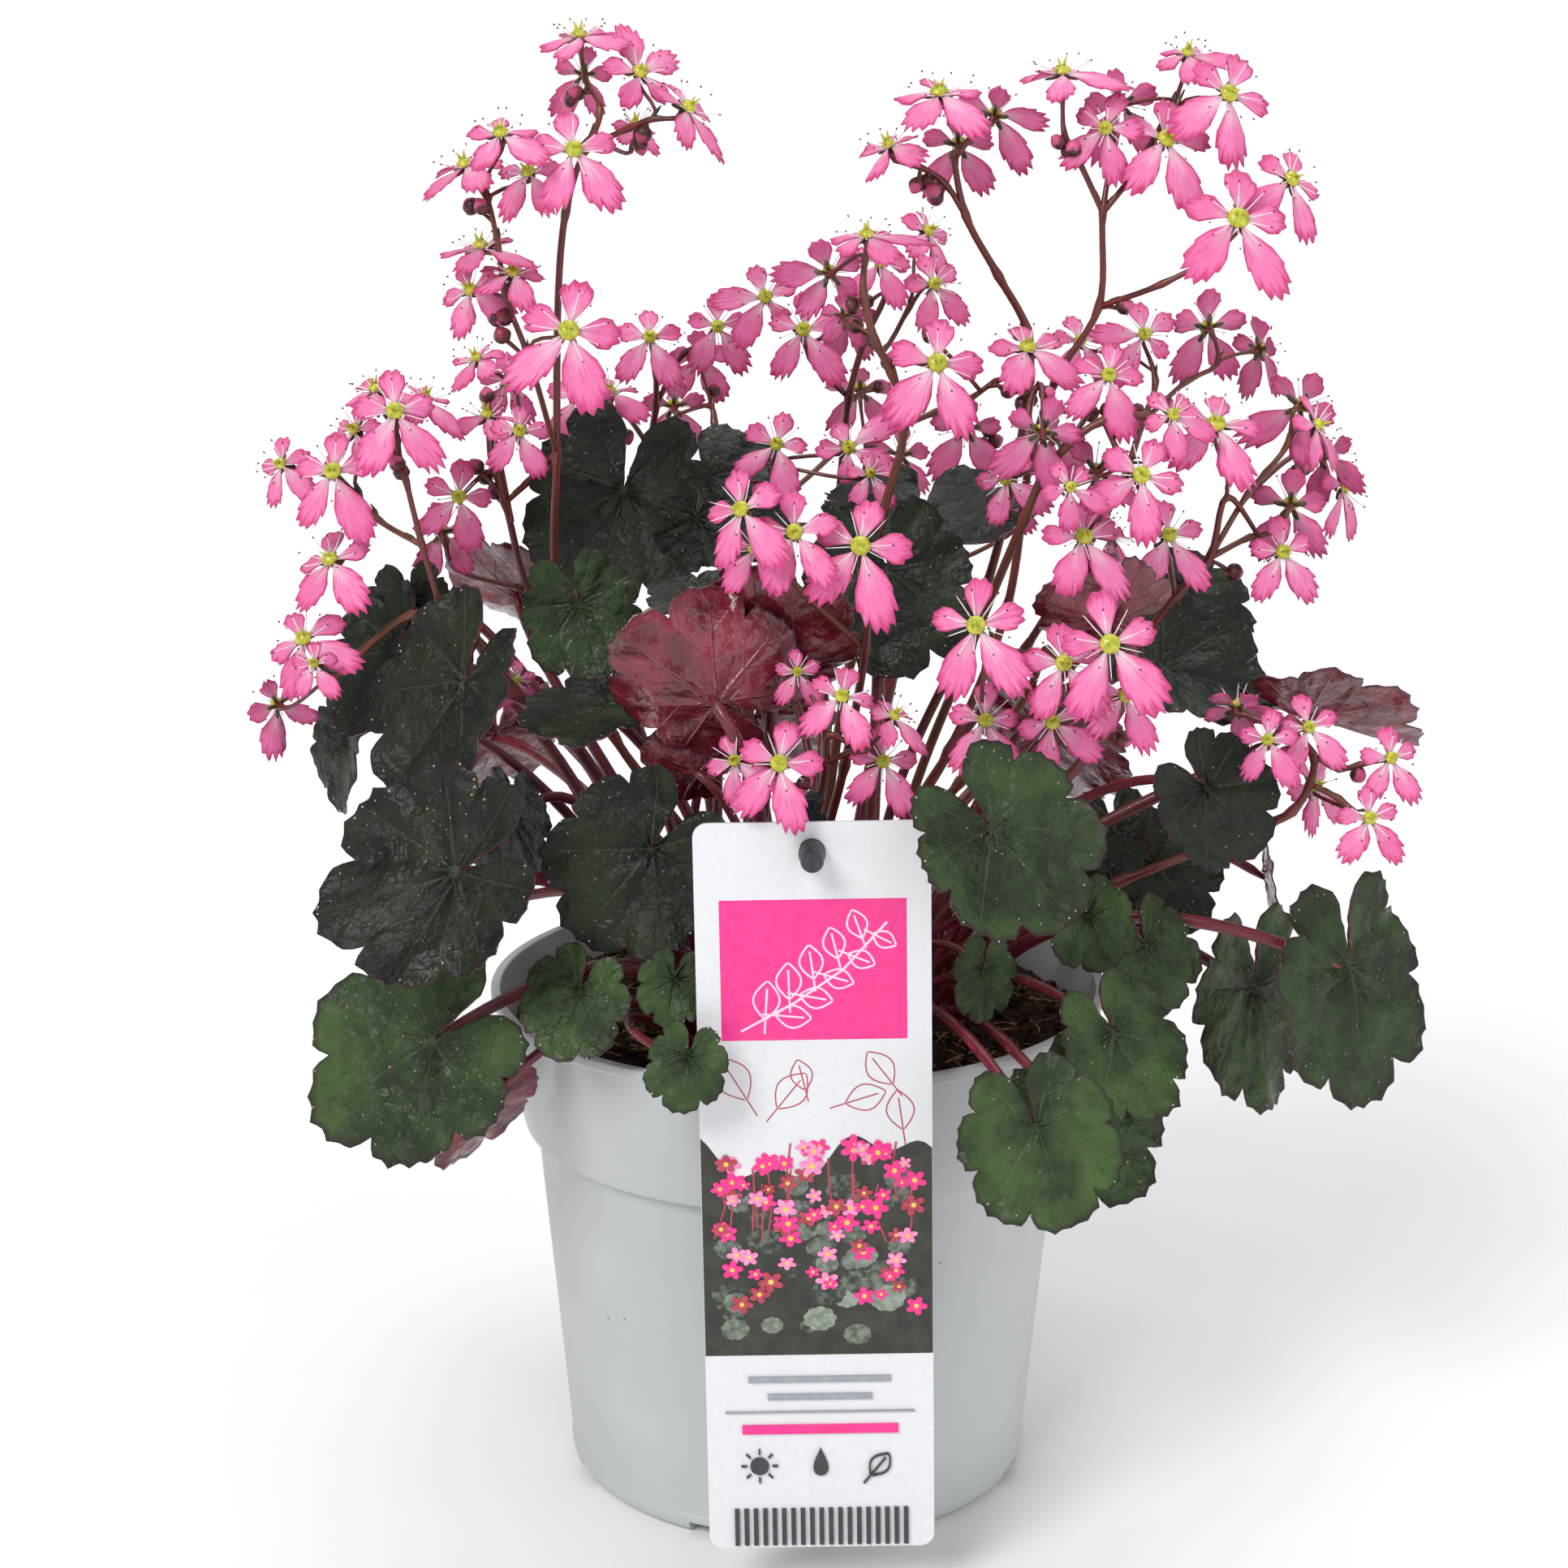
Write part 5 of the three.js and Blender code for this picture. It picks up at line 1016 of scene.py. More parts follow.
FRONT, BACK, FILAMENT, ANTHER, EYE_GREEN, SEPAL, STEM, BUD = range(8)
FILAMENTS = 10
FILAMENT_REACH = (4.6, 6.4)
FILAMENT_RISE = (1.6, 3.6)
FILAMENT_RADII = [0.15, 0.13, 0.11, 0.08]
ANTHER_STEPS = (-0.05, 0.1, 0.35, 0.5)
ANTHER_RADII = [0.08, 0.19, 0.19, 0.08]
# Height and radius up the green dome, and distance out, height and radius up a horn
DOME = [(0.05, 1.2), (0.6, 1.75), (1.2, 1.6), (1.65, 0.9), (1.9, 0.05)]
HORN = [(0.35, 1.4, 0.5), (0.55, 2.5, 0.3), (0.95, 3.6, 0.09)]
SEPALS = 5
SEPAL_LENGTH = 2.9
STEM_SHARE = 0.68
STEM_BEAD = 0.4
BEAD_REACH = 1.6
FLOWER_FOOT = 1.15


def add_petal(shell, bloom, angle, reach, half, draw):
    """A toothed petal, bent and sized a little at random."""
    long = reach > 1.3 * SHORT_PETAL
    teeth, rows = (7, 7) if long else (4, 5)
    columns = 4 * teeth
    j = np.arange(columns + 1)
    across = 2 * j / columns - 1
    reach = reach * draw.uniform(0.92, 1.06)
    half = math.radians(half * draw.uniform(0.94, 1.1))
    middle = math.radians(angle + draw.uniform(-5, 5))
    lean = draw.uniform(-0.08, 0.08)
    round_off = (0.5 if long else 0.3) * np.abs(across - lean) ** 2.2
    depth = (0.15 if long else 0.1) * per_tooth(draw.uniform(0.35, 1.1, teeth + 1), columns + 1)
    tooth = 1 - np.abs((j % 4) / 2 - 1)
    share = np.linspace(0, 1, rows + 1)[1:, None] ** 0.85
    r = share * reach * (1 - round_off[None]) * (1 - depth * (1 - tooth) * share**3)
    widths = [0.5, 0.45, 0.95, 1.08] if long else [0.55, 0.55, 1.0, 1.15]
    spread = np.interp(share, [0, 0.2, 0.55, 1], widths)
    turn = middle + half * across[None] * spread
    phase = draw.uniform(0, 6.28)
    lift = 0.8 * share * (across[None] ** 2 - 0.35) * draw.uniform(-0.5, 1.3)
    lift = lift + 0.35 * share**2 * np.sin(4 * across[None] + phase) + share**2 * draw.uniform(-1.3, 0.9)
    lift = lift + share * across[None] * draw.uniform(-0.7, 0.7)
    thick = 0.2 - 0.09 * share
    tops, unders = (bloom_point(bloom, turn, r, lift + side) for side in (thick, -thick))
    tone = draw.uniform(0, 1)
    hubs = [bloom_point(bloom, middle, 0.3, side) for side in (0.2, -0.2)]
    form = (r / PETAL_UNIT, (across[None] + 1) / 2, share, tone)
    add_fan(shell, hubs, tops, unders, (FRONT, BACK), form, (0, 0.5, 0, tone))


def add_bloom(shell, bloom, draw):
    """A flower: petals, stamens with dark anthers, a green dome with two horns, and sepals behind."""
    for angle, reach, half in PETALS:
        add_petal(shell, bloom, angle, reach, half, draw)
    for k in range(FILAMENTS):
        a = 2 * math.pi * (k + draw.uniform(-0.25, 0.25)) / FILAMENTS
        out, high = draw.uniform(*FILAMENT_REACH), draw.uniform(*FILAMENT_RISE)
        t = np.linspace(0, 1, 4)
        line = [bloom_point(bloom, a, 1.2 + (out - 1.2) * s, 0.3 + high * s**1.2) for s in t]
        add_tube(shell, line, FILAMENT_RADII, 4, FILAMENT, 0.5)
        along = unit(line[-1] - line[-2])
        add_tube(shell, [line[-1] + along * s for s in ANTHER_STEPS], ANTHER_RADII, 5, ANTHER, 0.5)
    line = [bloom_point(bloom, 0.0, 0.0, lift) for lift, _ in DOME]
    add_tube(shell, line, [r * bloom.size for _, r in DOME], 10, EYE_GREEN, 0.5)
    for side in (-1, 1):
        a = math.pi / 2 * side + draw.uniform(-0.3, 0.3)
        line = [bloom_point(bloom, a, out, lift) for out, lift, _ in HORN]
        add_tube(shell, line, [r for *_, r in HORN], 6, EYE_GREEN, 0.2)
    width = np.linspace(-1, 1, 7)
    share = np.array([[0.5], [1.0]])
    for k in range(SEPALS):
        a = math.radians(36 + 72 * k) + draw.uniform(-0.1, 0.1)
        r = 0.6 + SEPAL_LENGTH * share * (1 - 0.55 * np.abs(width[None]) ** 1.6)
        turn = a + 0.30 * width[None] * (1.25 - 0.35 * share)
        tops, unders = (bloom_point(bloom, turn, r, lift - 0.25 * share) for lift in (-0.35, -0.7))
        hubs = [bloom_point(bloom, a, 0.3, lift) for lift in (-0.3, -0.8)]
        add_fan(shell, hubs, tops, unders, (SEPAL, SEPAL), [0.5] * 4)


def add_bud(shell, start, base, tip, draw):
    """A bud on its own thin stalk."""
    grow = unit(tip - base)
    points = [start, (start + base) / 2 + UP * 0.5, base + grow * 0.5]
    stalk, radii, _ = smooth_line(points, [0.5, 0.45, 0.55], 2.5)
    add_tube(shell, stalk, radii, 6, STEM, draw.uniform(0, 1))
    share = np.array([0, 0.1, 0.28, 0.5, 0.72, 0.88, 1.0])
    radius = BUD_RADIUS * draw.uniform(0.85, 1.1) * np.array([0.3, 0.72, 0.98, 1.0, 0.8, 0.48, 0.12])
    add_tube(shell, [base + (tip - base) * s for s in share], radius, 8, BUD, draw.uniform(0, 1))


def add_bract(shell, point, direction, draw):
    """A small dark scale where a stalk forks."""
    side = unit(np.cross(direction, UP + 0.05))
    normal = unit(np.cross(side, direction))
    long, wide = draw.uniform(3, 4.6), draw.uniform(0.8, 1.1)
    across = np.linspace(-1, 1, 5)
    rows = []
    for share in (0.4, 0.75, 1.0):
        reach = long * share * (1 - 0.45 * np.abs(across))
        sideways = np.outer(wide * across * share * (1.5 - share), side)
        rows.append(point + np.outer(reach, direction) + sideways + 0.6 * share**2 * normal)
    hub, tops = point + normal * 0.15, np.array(rows) + normal * 0.15
    add_fan(shell, (hub, hub - normal * 0.3), tops, tops - normal * 0.3, (SEPAL, SEPAL), [0.2] * 4)


def make_spray(spray, seed):
    """One stem with its branches, thickened where they fork, its flowers and its buds."""
    draw = np.random.default_rng(seed)
    shell = Shell()
    for i, (points, radii) in enumerate(spray.ends):
        line, width, knots = smooth_line(points, radii, 3.0)
        width = width * (1 + STEM_BEAD * np.exp(-((knots / BEAD_REACH) ** 2))) * STEM_SHARE
        width[-2:] = 0.8, FLOWER_FOOT
        add_tube(shell, line, width, 9 if i == 0 else 7, STEM, draw.uniform(0, 1))
        if i > 0:
            onward = unit(points[1] - points[0])
            add_bract(shell, points[0] + onward * 0.8, onward, draw)
    for curve in spray.stalks:
        line = bezier(curve, max(5, round(length(curve[3] - curve[0]) / 3)))
        width = np.full(len(line), 0.45)
        width[0], width[-2], width[-1] = 0.55, 0.58, FLOWER_FOOT
        add_tube(shell, line, width, 6, STEM, draw.uniform(0, 1))
        add_bract(shell, curve[0], unit(unit(curve[1] - curve[0]) + UP * 0.2), draw)
    for bloom in spray.blooms:
        add_bloom(shell, bloom, draw)
    for start, base, tip in spray.buds:
        add_bud(shell, start, base, tip, draw)
    return shell


# Pot, soil, card and stake


def circle(x, y, radius, sides):
    """Points anticlockwise around a circle."""
    return [(x + radius * math.cos(a), y + radius * math.sin(a)) for a in turns(sides)]


FILLET_STEPS = 4


def rounded(corners):
    """A profile of (radius, height, fillet) corners, with each fillet turned into a short arc."""
    points = []
    for i, (r, z, fillet) in enumerate(corners):
        here = np.array([r, z], float)
        if fillet == 0:
            points.append(here)
            continue
        before = np.array(corners[i - 1][:2], float) - here
        after = np.array(corners[i + 1][:2], float) - here
        a = here + before / np.hypot(*before) * fillet
        b = here + after / np.hypot(*after) * fillet
        for k in range(FILLET_STEPS + 1):
            t = k / FILLET_STEPS
            points.append((1 - t) ** 2 * a + 2 * t * (1 - t) * here + t * t * b)
    return points


def lathe(profile, sides):
    """A closed turned body whose profile starts and ends on the axis."""
    turn = turns(sides)
    rings = [np.stack([r * np.cos(turn), r * np.sin(turn), 0 * turn + z], -1) for r, z in profile[1:-1]]
    points = np.concatenate([*rings, [[0, 0, profile[0][1]]], [[0, 0, profile[-1][1]]]])
    count = len(rings) * sides
    k = np.arange(sides)
    ahead = (k + 1) % sides
    bottom = np.stack([0 * k + count, ahead, k], -1)
    last = (len(rings) - 1) * sides
    top = np.stack([0 * k + count + 1, last + k, last + ahead], -1)
    return points, [grid_faces(len(rings), sides, 0, True), bottom, top]


def add_prism(shell, ring, low, high, slot=0, form=PLAIN):
    """A closed prism over a flat ring of points. The ring runs clockwise as seen from above."""
    count = len(ring)
    k = np.arange(count)
    ahead = (k + 1) % count
    walls = np.stack([k, k + count, ahead + count, ahead], -1)
    points = np.concatenate([np.array(ring) + low, np.array(ring) + high])
    shell.add(points, [[list(k)], [list(k[::-1] + count)], walls], slot, form)


POT_SIDES = 144
POT_SHARP = 32
BAND_FOOT = POT_HEIGHT - BAND_HEIGHT


def make_pot():
    """The pot, turned from its profile, with notches at the foot and drain holes cut out."""
    corners = [
        (0, 0.6, 0),
        (14, 0.6, 0),
        (16, 0, 0.6),
        (BASE_RADIUS, 0, BASE_ROUND - 0.4),
        (BASE_RADIUS + 0.35, 4.6, 0.2),
        (BASE_RADIUS + 0.05, 5.0, 0.2),
        (WALL_TOP_RADIUS, BAND_FOOT - 1.5, 0.8),
        (BAND_FOOT_RADIUS - 0.3, BAND_FOOT - 0.9, 0.7),
        (BAND_FOOT_RADIUS + 0.25, BAND_FOOT + 1.4, 0.6),
        (RIM_RADIUS - 0.75, POT_HEIGHT - 2.6, 0.3),
        (RIM_RADIUS - 0.05, POT_HEIGHT - 2.1, 0.3),
        (RIM_RADIUS, POT_HEIGHT, 0.7),
        (RIM_RADIUS - POT_WALL - 0.6, POT_HEIGHT, 0.5),
        (BAND_FOOT_RADIUS - POT_WALL, BAND_FOOT + 2, 1.5),
        (WALL_TOP_RADIUS - POT_WALL, BAND_FOOT - 2, 1.5),
        (BASE_RADIUS - POT_WALL, FLOOR_THICKNESS, 2.5),
        (0, FLOOR_THICKNESS, 0),
    ]
    body = Shell()
    body.add(*lathe(rounded(corners), POT_SIDES))
    pot = body.build("pot_shell", [])
    cutter = Shell()
    w = CHANNEL_WIDTH / 2
    bends = np.linspace(-math.pi / 2, math.pi / 2, 9)
    outline = [(CHANNEL_REACH + w * (1 - math.cos(t)), w * math.sin(t)) for t in bends]
    outline = [(BASE_RADIUS + 8, -w), *outline, (BASE_RADIUS + 8, w)]
    for k in range(CHANNELS):
        a = (k + 0.5) * 2 * math.pi / CHANNELS
        along, side = np.array([math.cos(a), math.sin(a), 0]), np.array([-math.sin(a), math.cos(a), 0])
        add_prism(cutter, [along * r + side * s for r, s in outline], -UP * 4, UP * CHANNEL_HEIGHT)
        hole = [along * (DRAIN_RING + x) + side * y for x, y in circle(0, 0, DRAIN_RADIUS, 18)]
        add_prism(cutter, hole[::-1], UP * 1, UP * 9)
    tool = cutter.build("pot_cutter", [])
    cut = pot.modifiers.new("channels", "BOOLEAN")
    cut.operation, cut.object, cut.solver, cut.use_self = "DIFFERENCE", tool, "EXACT", True
    graph = bpy.context.evaluated_depsgraph_get()
    mesh = bpy.data.meshes.new_from_object(pot.evaluated_get(graph))
    pot.modifiers.clear()
    pot.data = mesh
    bpy.data.objects.remove(tool)
    mesh.materials.clear()
    mesh.materials.append(POT_LOOK)
    mesh.set_sharp_from_angle(angle=math.radians(POT_SHARP))
    return pot


CRUMBS = 900
FIBRES = 260


def soil_height(x, y):
    """Height of the soil's rough surface, which falls away towards the wall."""
    r = math.hypot(x, y)
    swell = 1.1 * noise.fractal(Vector((x / 9, y / 9, 3)), 1.0, 2.0, 4)
    grain = 0.7 * noise.noise(Vector((x / 2.2, y / 2.2, 8)))
    return SOIL_TOP + 0.4 - SOIL_SLOPE * max(0.0, (r - 50) / 16) ** 1.5 + swell + grain


def scattered(draw, reach, share):
    """A random place on the soil."""
    r, a = reach * math.sqrt(draw.uniform(0, share)), draw.uniform(0, 2 * math.pi)
    return r * math.cos(a), r * math.sin(a)


def add_crumb(shell, ball, reach, draw):
    """A lump of peat: a small ball with its corners moved in and out."""
    corners, faces = ball
    x, y = scattered(draw, reach, 0.97)
    size = draw.uniform(0.5, 1.7) * draw.uniform(0.6, 1.0, 3)
    lump = corners * size * draw.uniform(0.8, 1.15, (len(corners), 1))
    turn = draw.uniform(0, 6.28)
    c, s = math.cos(turn), math.sin(turn)
    lump = lump @ np.array([[c, -s, 0], [s, c, 0], [0, 0, 1]])
    lump = lump + [x, y, soil_height(x, y) + 0.2 * size[2]]
    shell.add(lump, [faces], 0, (0, 0, 0, draw.uniform(0, 1)))


def add_fibre(shell, reach, draw):
    """A thin bent fibre that lies on the soil."""
    x, y = scattered(draw, reach, 0.93)
    turn, long = draw.uniform(0, 6.28), draw.uniform(3, 9)
    bend = draw.uniform(-0.6, 0.6)
    line = []
    for s in np.linspace(-0.5, 0.5, 5):
        px = x + long * s * math.cos(turn + bend * s)
        py = y + long * s * math.sin(turn + bend * s)
        if math.hypot(px, py) > reach - 0.6:
            break
        line.append(np.array([px, py, soil_height(px, py) + 0.35 + 0.8 * (0.25 - s * s)]))
    if len(line) > 2:
        add_tube(shell, line, np.full(len(line), draw.uniform(0.12, 0.3)), 4, 1, draw.uniform(0, 1))


def make_soil():
    """The peat that fills the pot, with crumbs and fibres on its rough top."""
    draw = np.random.default_rng(11)
    within = POT_WALL + GAP
    edge = SOIL_TOP - SOIL_SLOPE
    at_top = band_radius(edge) - within - 0.9
    profile = [
        (0, FLOOR_THICKNESS + GAP),
        (BASE_RADIUS - within - 2.6, FLOOR_THICKNESS + GAP),
        (BASE_RADIUS - within - 0.6, FLOOR_THICKNESS + 3),
        (WALL_TOP_RADIUS - within - 0.6, BAND_FOOT - 3),
        (BAND_FOOT_RADIUS - within - 0.5, BAND_FOOT + 3),
        (at_top, edge - 1.5),
    ]
    profile += [(at_top * s, SOIL_TOP) for s in (0.992, *np.linspace(0.97, 0.03, 34))] + [(0, SOIL_TOP)]
    points, faces = lathe(profile, 120)
    for p in points:
        if p[2] >= SOIL_TOP:
            p[2] = soil_height(p[0], p[1])
    shell = Shell()
    shell.add(points, faces, 0, MIDDLE)
    ball = bmesh.new()
    bmesh.ops.create_icosphere(ball, subdivisions=1, radius=1)
    pieces = np.array([v.co for v in ball.verts]), [[v.index for v in face.verts] for face in ball.faces]
    ball.free()
    for _ in range(CRUMBS):
        add_crumb(shell, pieces, at_top, draw)
    for _ in range(FIBRES):
        add_fibre(shell, at_top, draw)
    return shell


CARD_STOCK, PINK_INK, PALE_INK, YELLOW_INK, DARK_INK = range(5)
LEAF_INK, RED_INK, ROSE_INK, GREY_INK, BLACK_INK = range(5, 10)
INK_BACK = 0.1
INK_FRONT = 0.02
INK_STEP = 0.002


def on_card(x, z, lift=0.0):
    """A point of the card's front, measured from its hole, or some height above that front."""
    a = math.radians(-CARD_LEAN)
    across, height = x * math.cos(a) + z * math.sin(a), z * math.cos(a) - x * math.sin(a)
    return np.array([CARD_X + across, CARD_Y - CARD_THICKNESS - lift, CARD_HOLE_Z + height])


def add_card_sheet(shell):
    """The card itself: a thin sheet with round corners and a punched hole."""
    w, c = CARD_WIDTH / 2, CARD_CORNER
    top, foot = CARD_HOLE_DROP, CARD_HOLE_DROP - CARD_LENGTH
    corners = ((w - c, foot + c, -90), (w - c, top - c, 0), (c - w, top - c, 90), (c - w, foot + c, 180))
    outline = []
    for x, z, start in corners:
        for step in range(9):
            a = math.radians(start + 90 * step / 8)
            outline.append((x + c * math.cos(a), z + c * math.sin(a)))
    hole = circle(0, 0, CARD_HOLE_RADIUS, 32)[::-1]
    loops = [[Vector((x, z, 0)) for x, z in loop] for loop in (outline, hole)]
    ring = outline + hole
    count = len(ring)
    front = []
    for a, b, c in geometry.tessellate_polygon(loops):
        ab = np.subtract(ring[b], ring[a])
        ac = np.subtract(ring[c], ring[a])
        front.append([a, b, c] if ab[0] * ac[1] > ab[1] * ac[0] else [a, c, b])
    back = [[i + count for i in face[::-1]] for face in front]
    walls = []
    for first, last in ((0, len(outline)), (len(outline), count)):
        for i in range(first, last):
            j = i + 1 if i + 1 < last else first
            walls.append([i, i + count, j + count, j])
    points = [on_card(x, z, lift) for lift in (0.0, -CARD_THICKNESS) for x, z in ring]
    shell.add(points, [front, back, walls], CARD_STOCK, MIDDLE)


class Print:
    """Thin layers of ink on the card, each a little higher than the one before."""

    def __init__(self, shell):
        self.shell, self.count = shell, 0

    def patch(self, points, ink, tone=0.5):
        """Fills an outline of places across and above the hole, anticlockwise as seen."""
        self.count += 1
        ring = [on_card(x, z) for x, z in points[::-1]]
        lift = INK_FRONT + INK_STEP * self.count
        add_prism(self.shell, ring, np.array([0, INK_BACK, 0]), np.array([0, -lift, 0]), ink, (0, 0, 0, tone))

    def block(self, left, right, foot, top, ink):
        self.patch([(left, foot), (right, foot), (right, top), (left, top)], ink)

    def line(self, points, width, ink):
        """A stroke along several points."""
        p = np.array(points, float)
        along = np.gradient(p, axis=0)
        side = np.stack([-along[:, 1], along[:, 0]], -1)
        side *= width / 2 / np.linalg.norm(side, axis=1)[:, None]
        self.patch([*(p - side), *(p + side)[::-1]], ink)

    def lobed(self, x, z, size, lobes, depth, turn, ink, tall=1.0, tone=0.5):
        """A round shape with lobes: a blossom when they are deep, a leaf when they are shallow."""
        points = []
        for a in turns(6 * lobes):
            r = size * (1 - depth + depth * abs(math.cos(lobes / 2 * (a - turn))) ** 0.8)
            points.append((x + r * math.cos(a), z + tall * r * math.sin(a)))
        self.patch(points, ink, tone)

    def leaf_line(self, x, z, size, turn, width, ink):
        """A pointed leaf drawn with a thin stroke, and its midrib."""
        c, s = math.cos(turn), math.sin(turn)
        steps = np.linspace(0.03, 0.97, 9)
        bulge = 0.32 * size
        shape = [(size * t, side * bulge * math.sin(math.pi * t)) for side in (1, -1) for t in steps[::side]]
        self.line([(x + c * u - s * v, z + s * u + c * v) for u, v in shape], width, ink)
        self.line([(x + c * size * t, z + s * size * t) for t in (-0.35, 0.25, 0.8)], width, ink)


# The card's leaf motifs: across and height of the foot, size and turn
LEAF_MOTIFS = [(-14, -53, 11, 2.1), (-8, -55, 10, 0.9), (16, -50, 9, 2.2), (6, -54, 9, 0.3)]
LEAF_MOTIFS += [(-2, -51, 7, 1.8), (18, -60, 9, 1.7)]
PANEL_HALF = 19
PANEL_FOOT, PANEL_TOP = -40, -10
BED_FOOT, BED_TOP = -110, -66
BED_LEAVES = 46
BED_STEMS = 14
BED_BLOSSOMS = 84
# Half the length, the height, the width and the ink of the plain lines below the bed
CARD_LINES = [(15, -115.5, 1.3, GREY_INK), (11, -119.5, 1.3, GREY_INK), (20, -123, 0.3, GREY_INK)]
CARD_LINES += [(16.5, -127, 2.0, PINK_INK)]
SUN_X, SUN_Z = -13, -135.5
SUN_RADIUS = 2.0
RAYS = 8
STRIPES = 19
STRIPE_FOOT, STRIPE_TOP = -154, -145.5


def make_card():
    """A hanging card with a plain print: a panel of leaves, a bed of pink blossoms, lines and marks."""
    draw = np.random.default_rng(5)
    shell = Shell()
    add_card_sheet(shell)
    ink = Print(shell)
    w = CARD_WIDTH / 2 - 0.1
    for x, z, size, turn in LEAF_MOTIFS:
        ink.leaf_line(x, z, size, turn, 0.28, RED_INK)
    ink.block(-PANEL_HALF, PANEL_HALF, PANEL_FOOT, PANEL_TOP, PINK_INK)
    ink.line([(-15, -38), (-4, -32), (6, -25), (15, -15)], 0.5, PALE_INK)
    for k in range(5):
        x, z = -10 + 5 * k, -35.6 + 4.3 * k
        ink.leaf_line(x, z, 8.5 - 0.5 * k, 1.5 + 0.1 * k, 0.4, PALE_INK)
        ink.leaf_line(x + 2, z + 1, 7.5 - 0.5 * k, -0.1 - 0.1 * k, 0.4, PALE_INK)
    t = np.linspace(0, 1, 33)
    crest = zip(w - 2 * w * t, BED_TOP + 4 * np.sin(7 * t) + 2.4 * np.sin(19 * t + 1))
    ink.patch([(-w, BED_FOOT), (w, BED_FOOT), *crest], DARK_INK)
    for _ in range(BED_LEAVES):
        x, z, size = draw.uniform(-19.5, 19.5), draw.uniform(-105.5, -70), draw.uniform(2, 4)
        shade = draw.uniform(0, 1) * (1 if z < -86 else 0.55)
        ink.lobed(x, z, size, 9, 0.12, draw.uniform(0, 6), LEAF_INK, 0.8, shade)
    for _ in range(BED_STEMS):
        x, z = draw.uniform(-21, 21), draw.uniform(-72, -62)
        ink.line([(x, z), (x + draw.uniform(-1, 1), z - 6), (x + draw.uniform(-2, 2), z - 13)], 0.35, RED_INK)
    for k in range(BED_BLOSSOMS):
        x = draw.uniform(-20.5, 20.5)
        z = -62 - 34 * draw.uniform(0, 1) ** 1.2 - 0.012 * x * x
        colour = (PINK_INK, ROSE_INK, PINK_INK, RED_INK)[k % 4]
        size = draw.uniform(1.5, 2.8)
        ink.lobed(x, z, size, 5, 0.62, draw.uniform(0, 6), colour, draw.uniform(0.75, 1.0))
        ink.lobed(x, z, 0.22 * size, 5, 0.1, 0, YELLOW_INK)
    for half, z, width, colour in CARD_LINES:
        ink.line([(-half, z), (half, z)], width, colour)
    ink.patch(circle(SUN_X, SUN_Z, SUN_RADIUS, 20), BLACK_INK)
    for a in turns(RAYS):
        ink.line([(SUN_X + r * math.cos(a), SUN_Z + r * math.sin(a)) for r in (2.7, 3.9)], 0.4, BLACK_INK)
    t = np.linspace(2 * math.pi, 0, 25)[:-1]
    drop = zip(2.3 * np.sin(t) * np.sin(t / 2) ** 1.5, -134.6 + 3.2 * np.cos(t))
    ink.patch(list(drop), BLACK_INK)
    ink.leaf_line(10.5, -138, 6.5, 0.9, 0.4, BLACK_INK)
    for k in range(STRIPES):
        x = 2 * k + 1 - STRIPES
        ink.block(x - 0.5, x + 0.5, STRIPE_FOOT, STRIPE_TOP, BLACK_INK)
    return shell


def add_box(shell, size, centre, bevel):
    """A box with bevelled edges."""
    box = bmesh.new()
    bmesh.ops.create_cube(box, size=1)
    for v in box.verts:
        v.co = Vector([v.co[i] * size[i] + centre[i] for i in range(3)])
    bmesh.ops.bevel(box, geom=box.edges[:], offset=bevel, segments=2, profile=0.6, affect="EDGES")
    box.verts.index_update()
    shell.add([v.co for v in box.verts], [[[v.index for v in face.verts] for face in box.faces]])
    box.free()


# Shares of the length and of the radius along the stake's head and peg
HEAD_SHARES = [(0, 0.36), (0.2, 0.52), (0.5, 0.8), (0.72, 0.97), (0.82, 0.99), (0.93, 0.86)]
HEAD_SHARES += [(0.99, 0.55), (1, 0.2)]
PEG_SHARES = [(0, 0.8), (0.02, 0.95), (0.66, 0.98), (0.67, 1.13), (0.76, 1.15), (0.8, 1.0)]
PEG_SHARES += [(0.97, 0.98), (1, 0.85)]


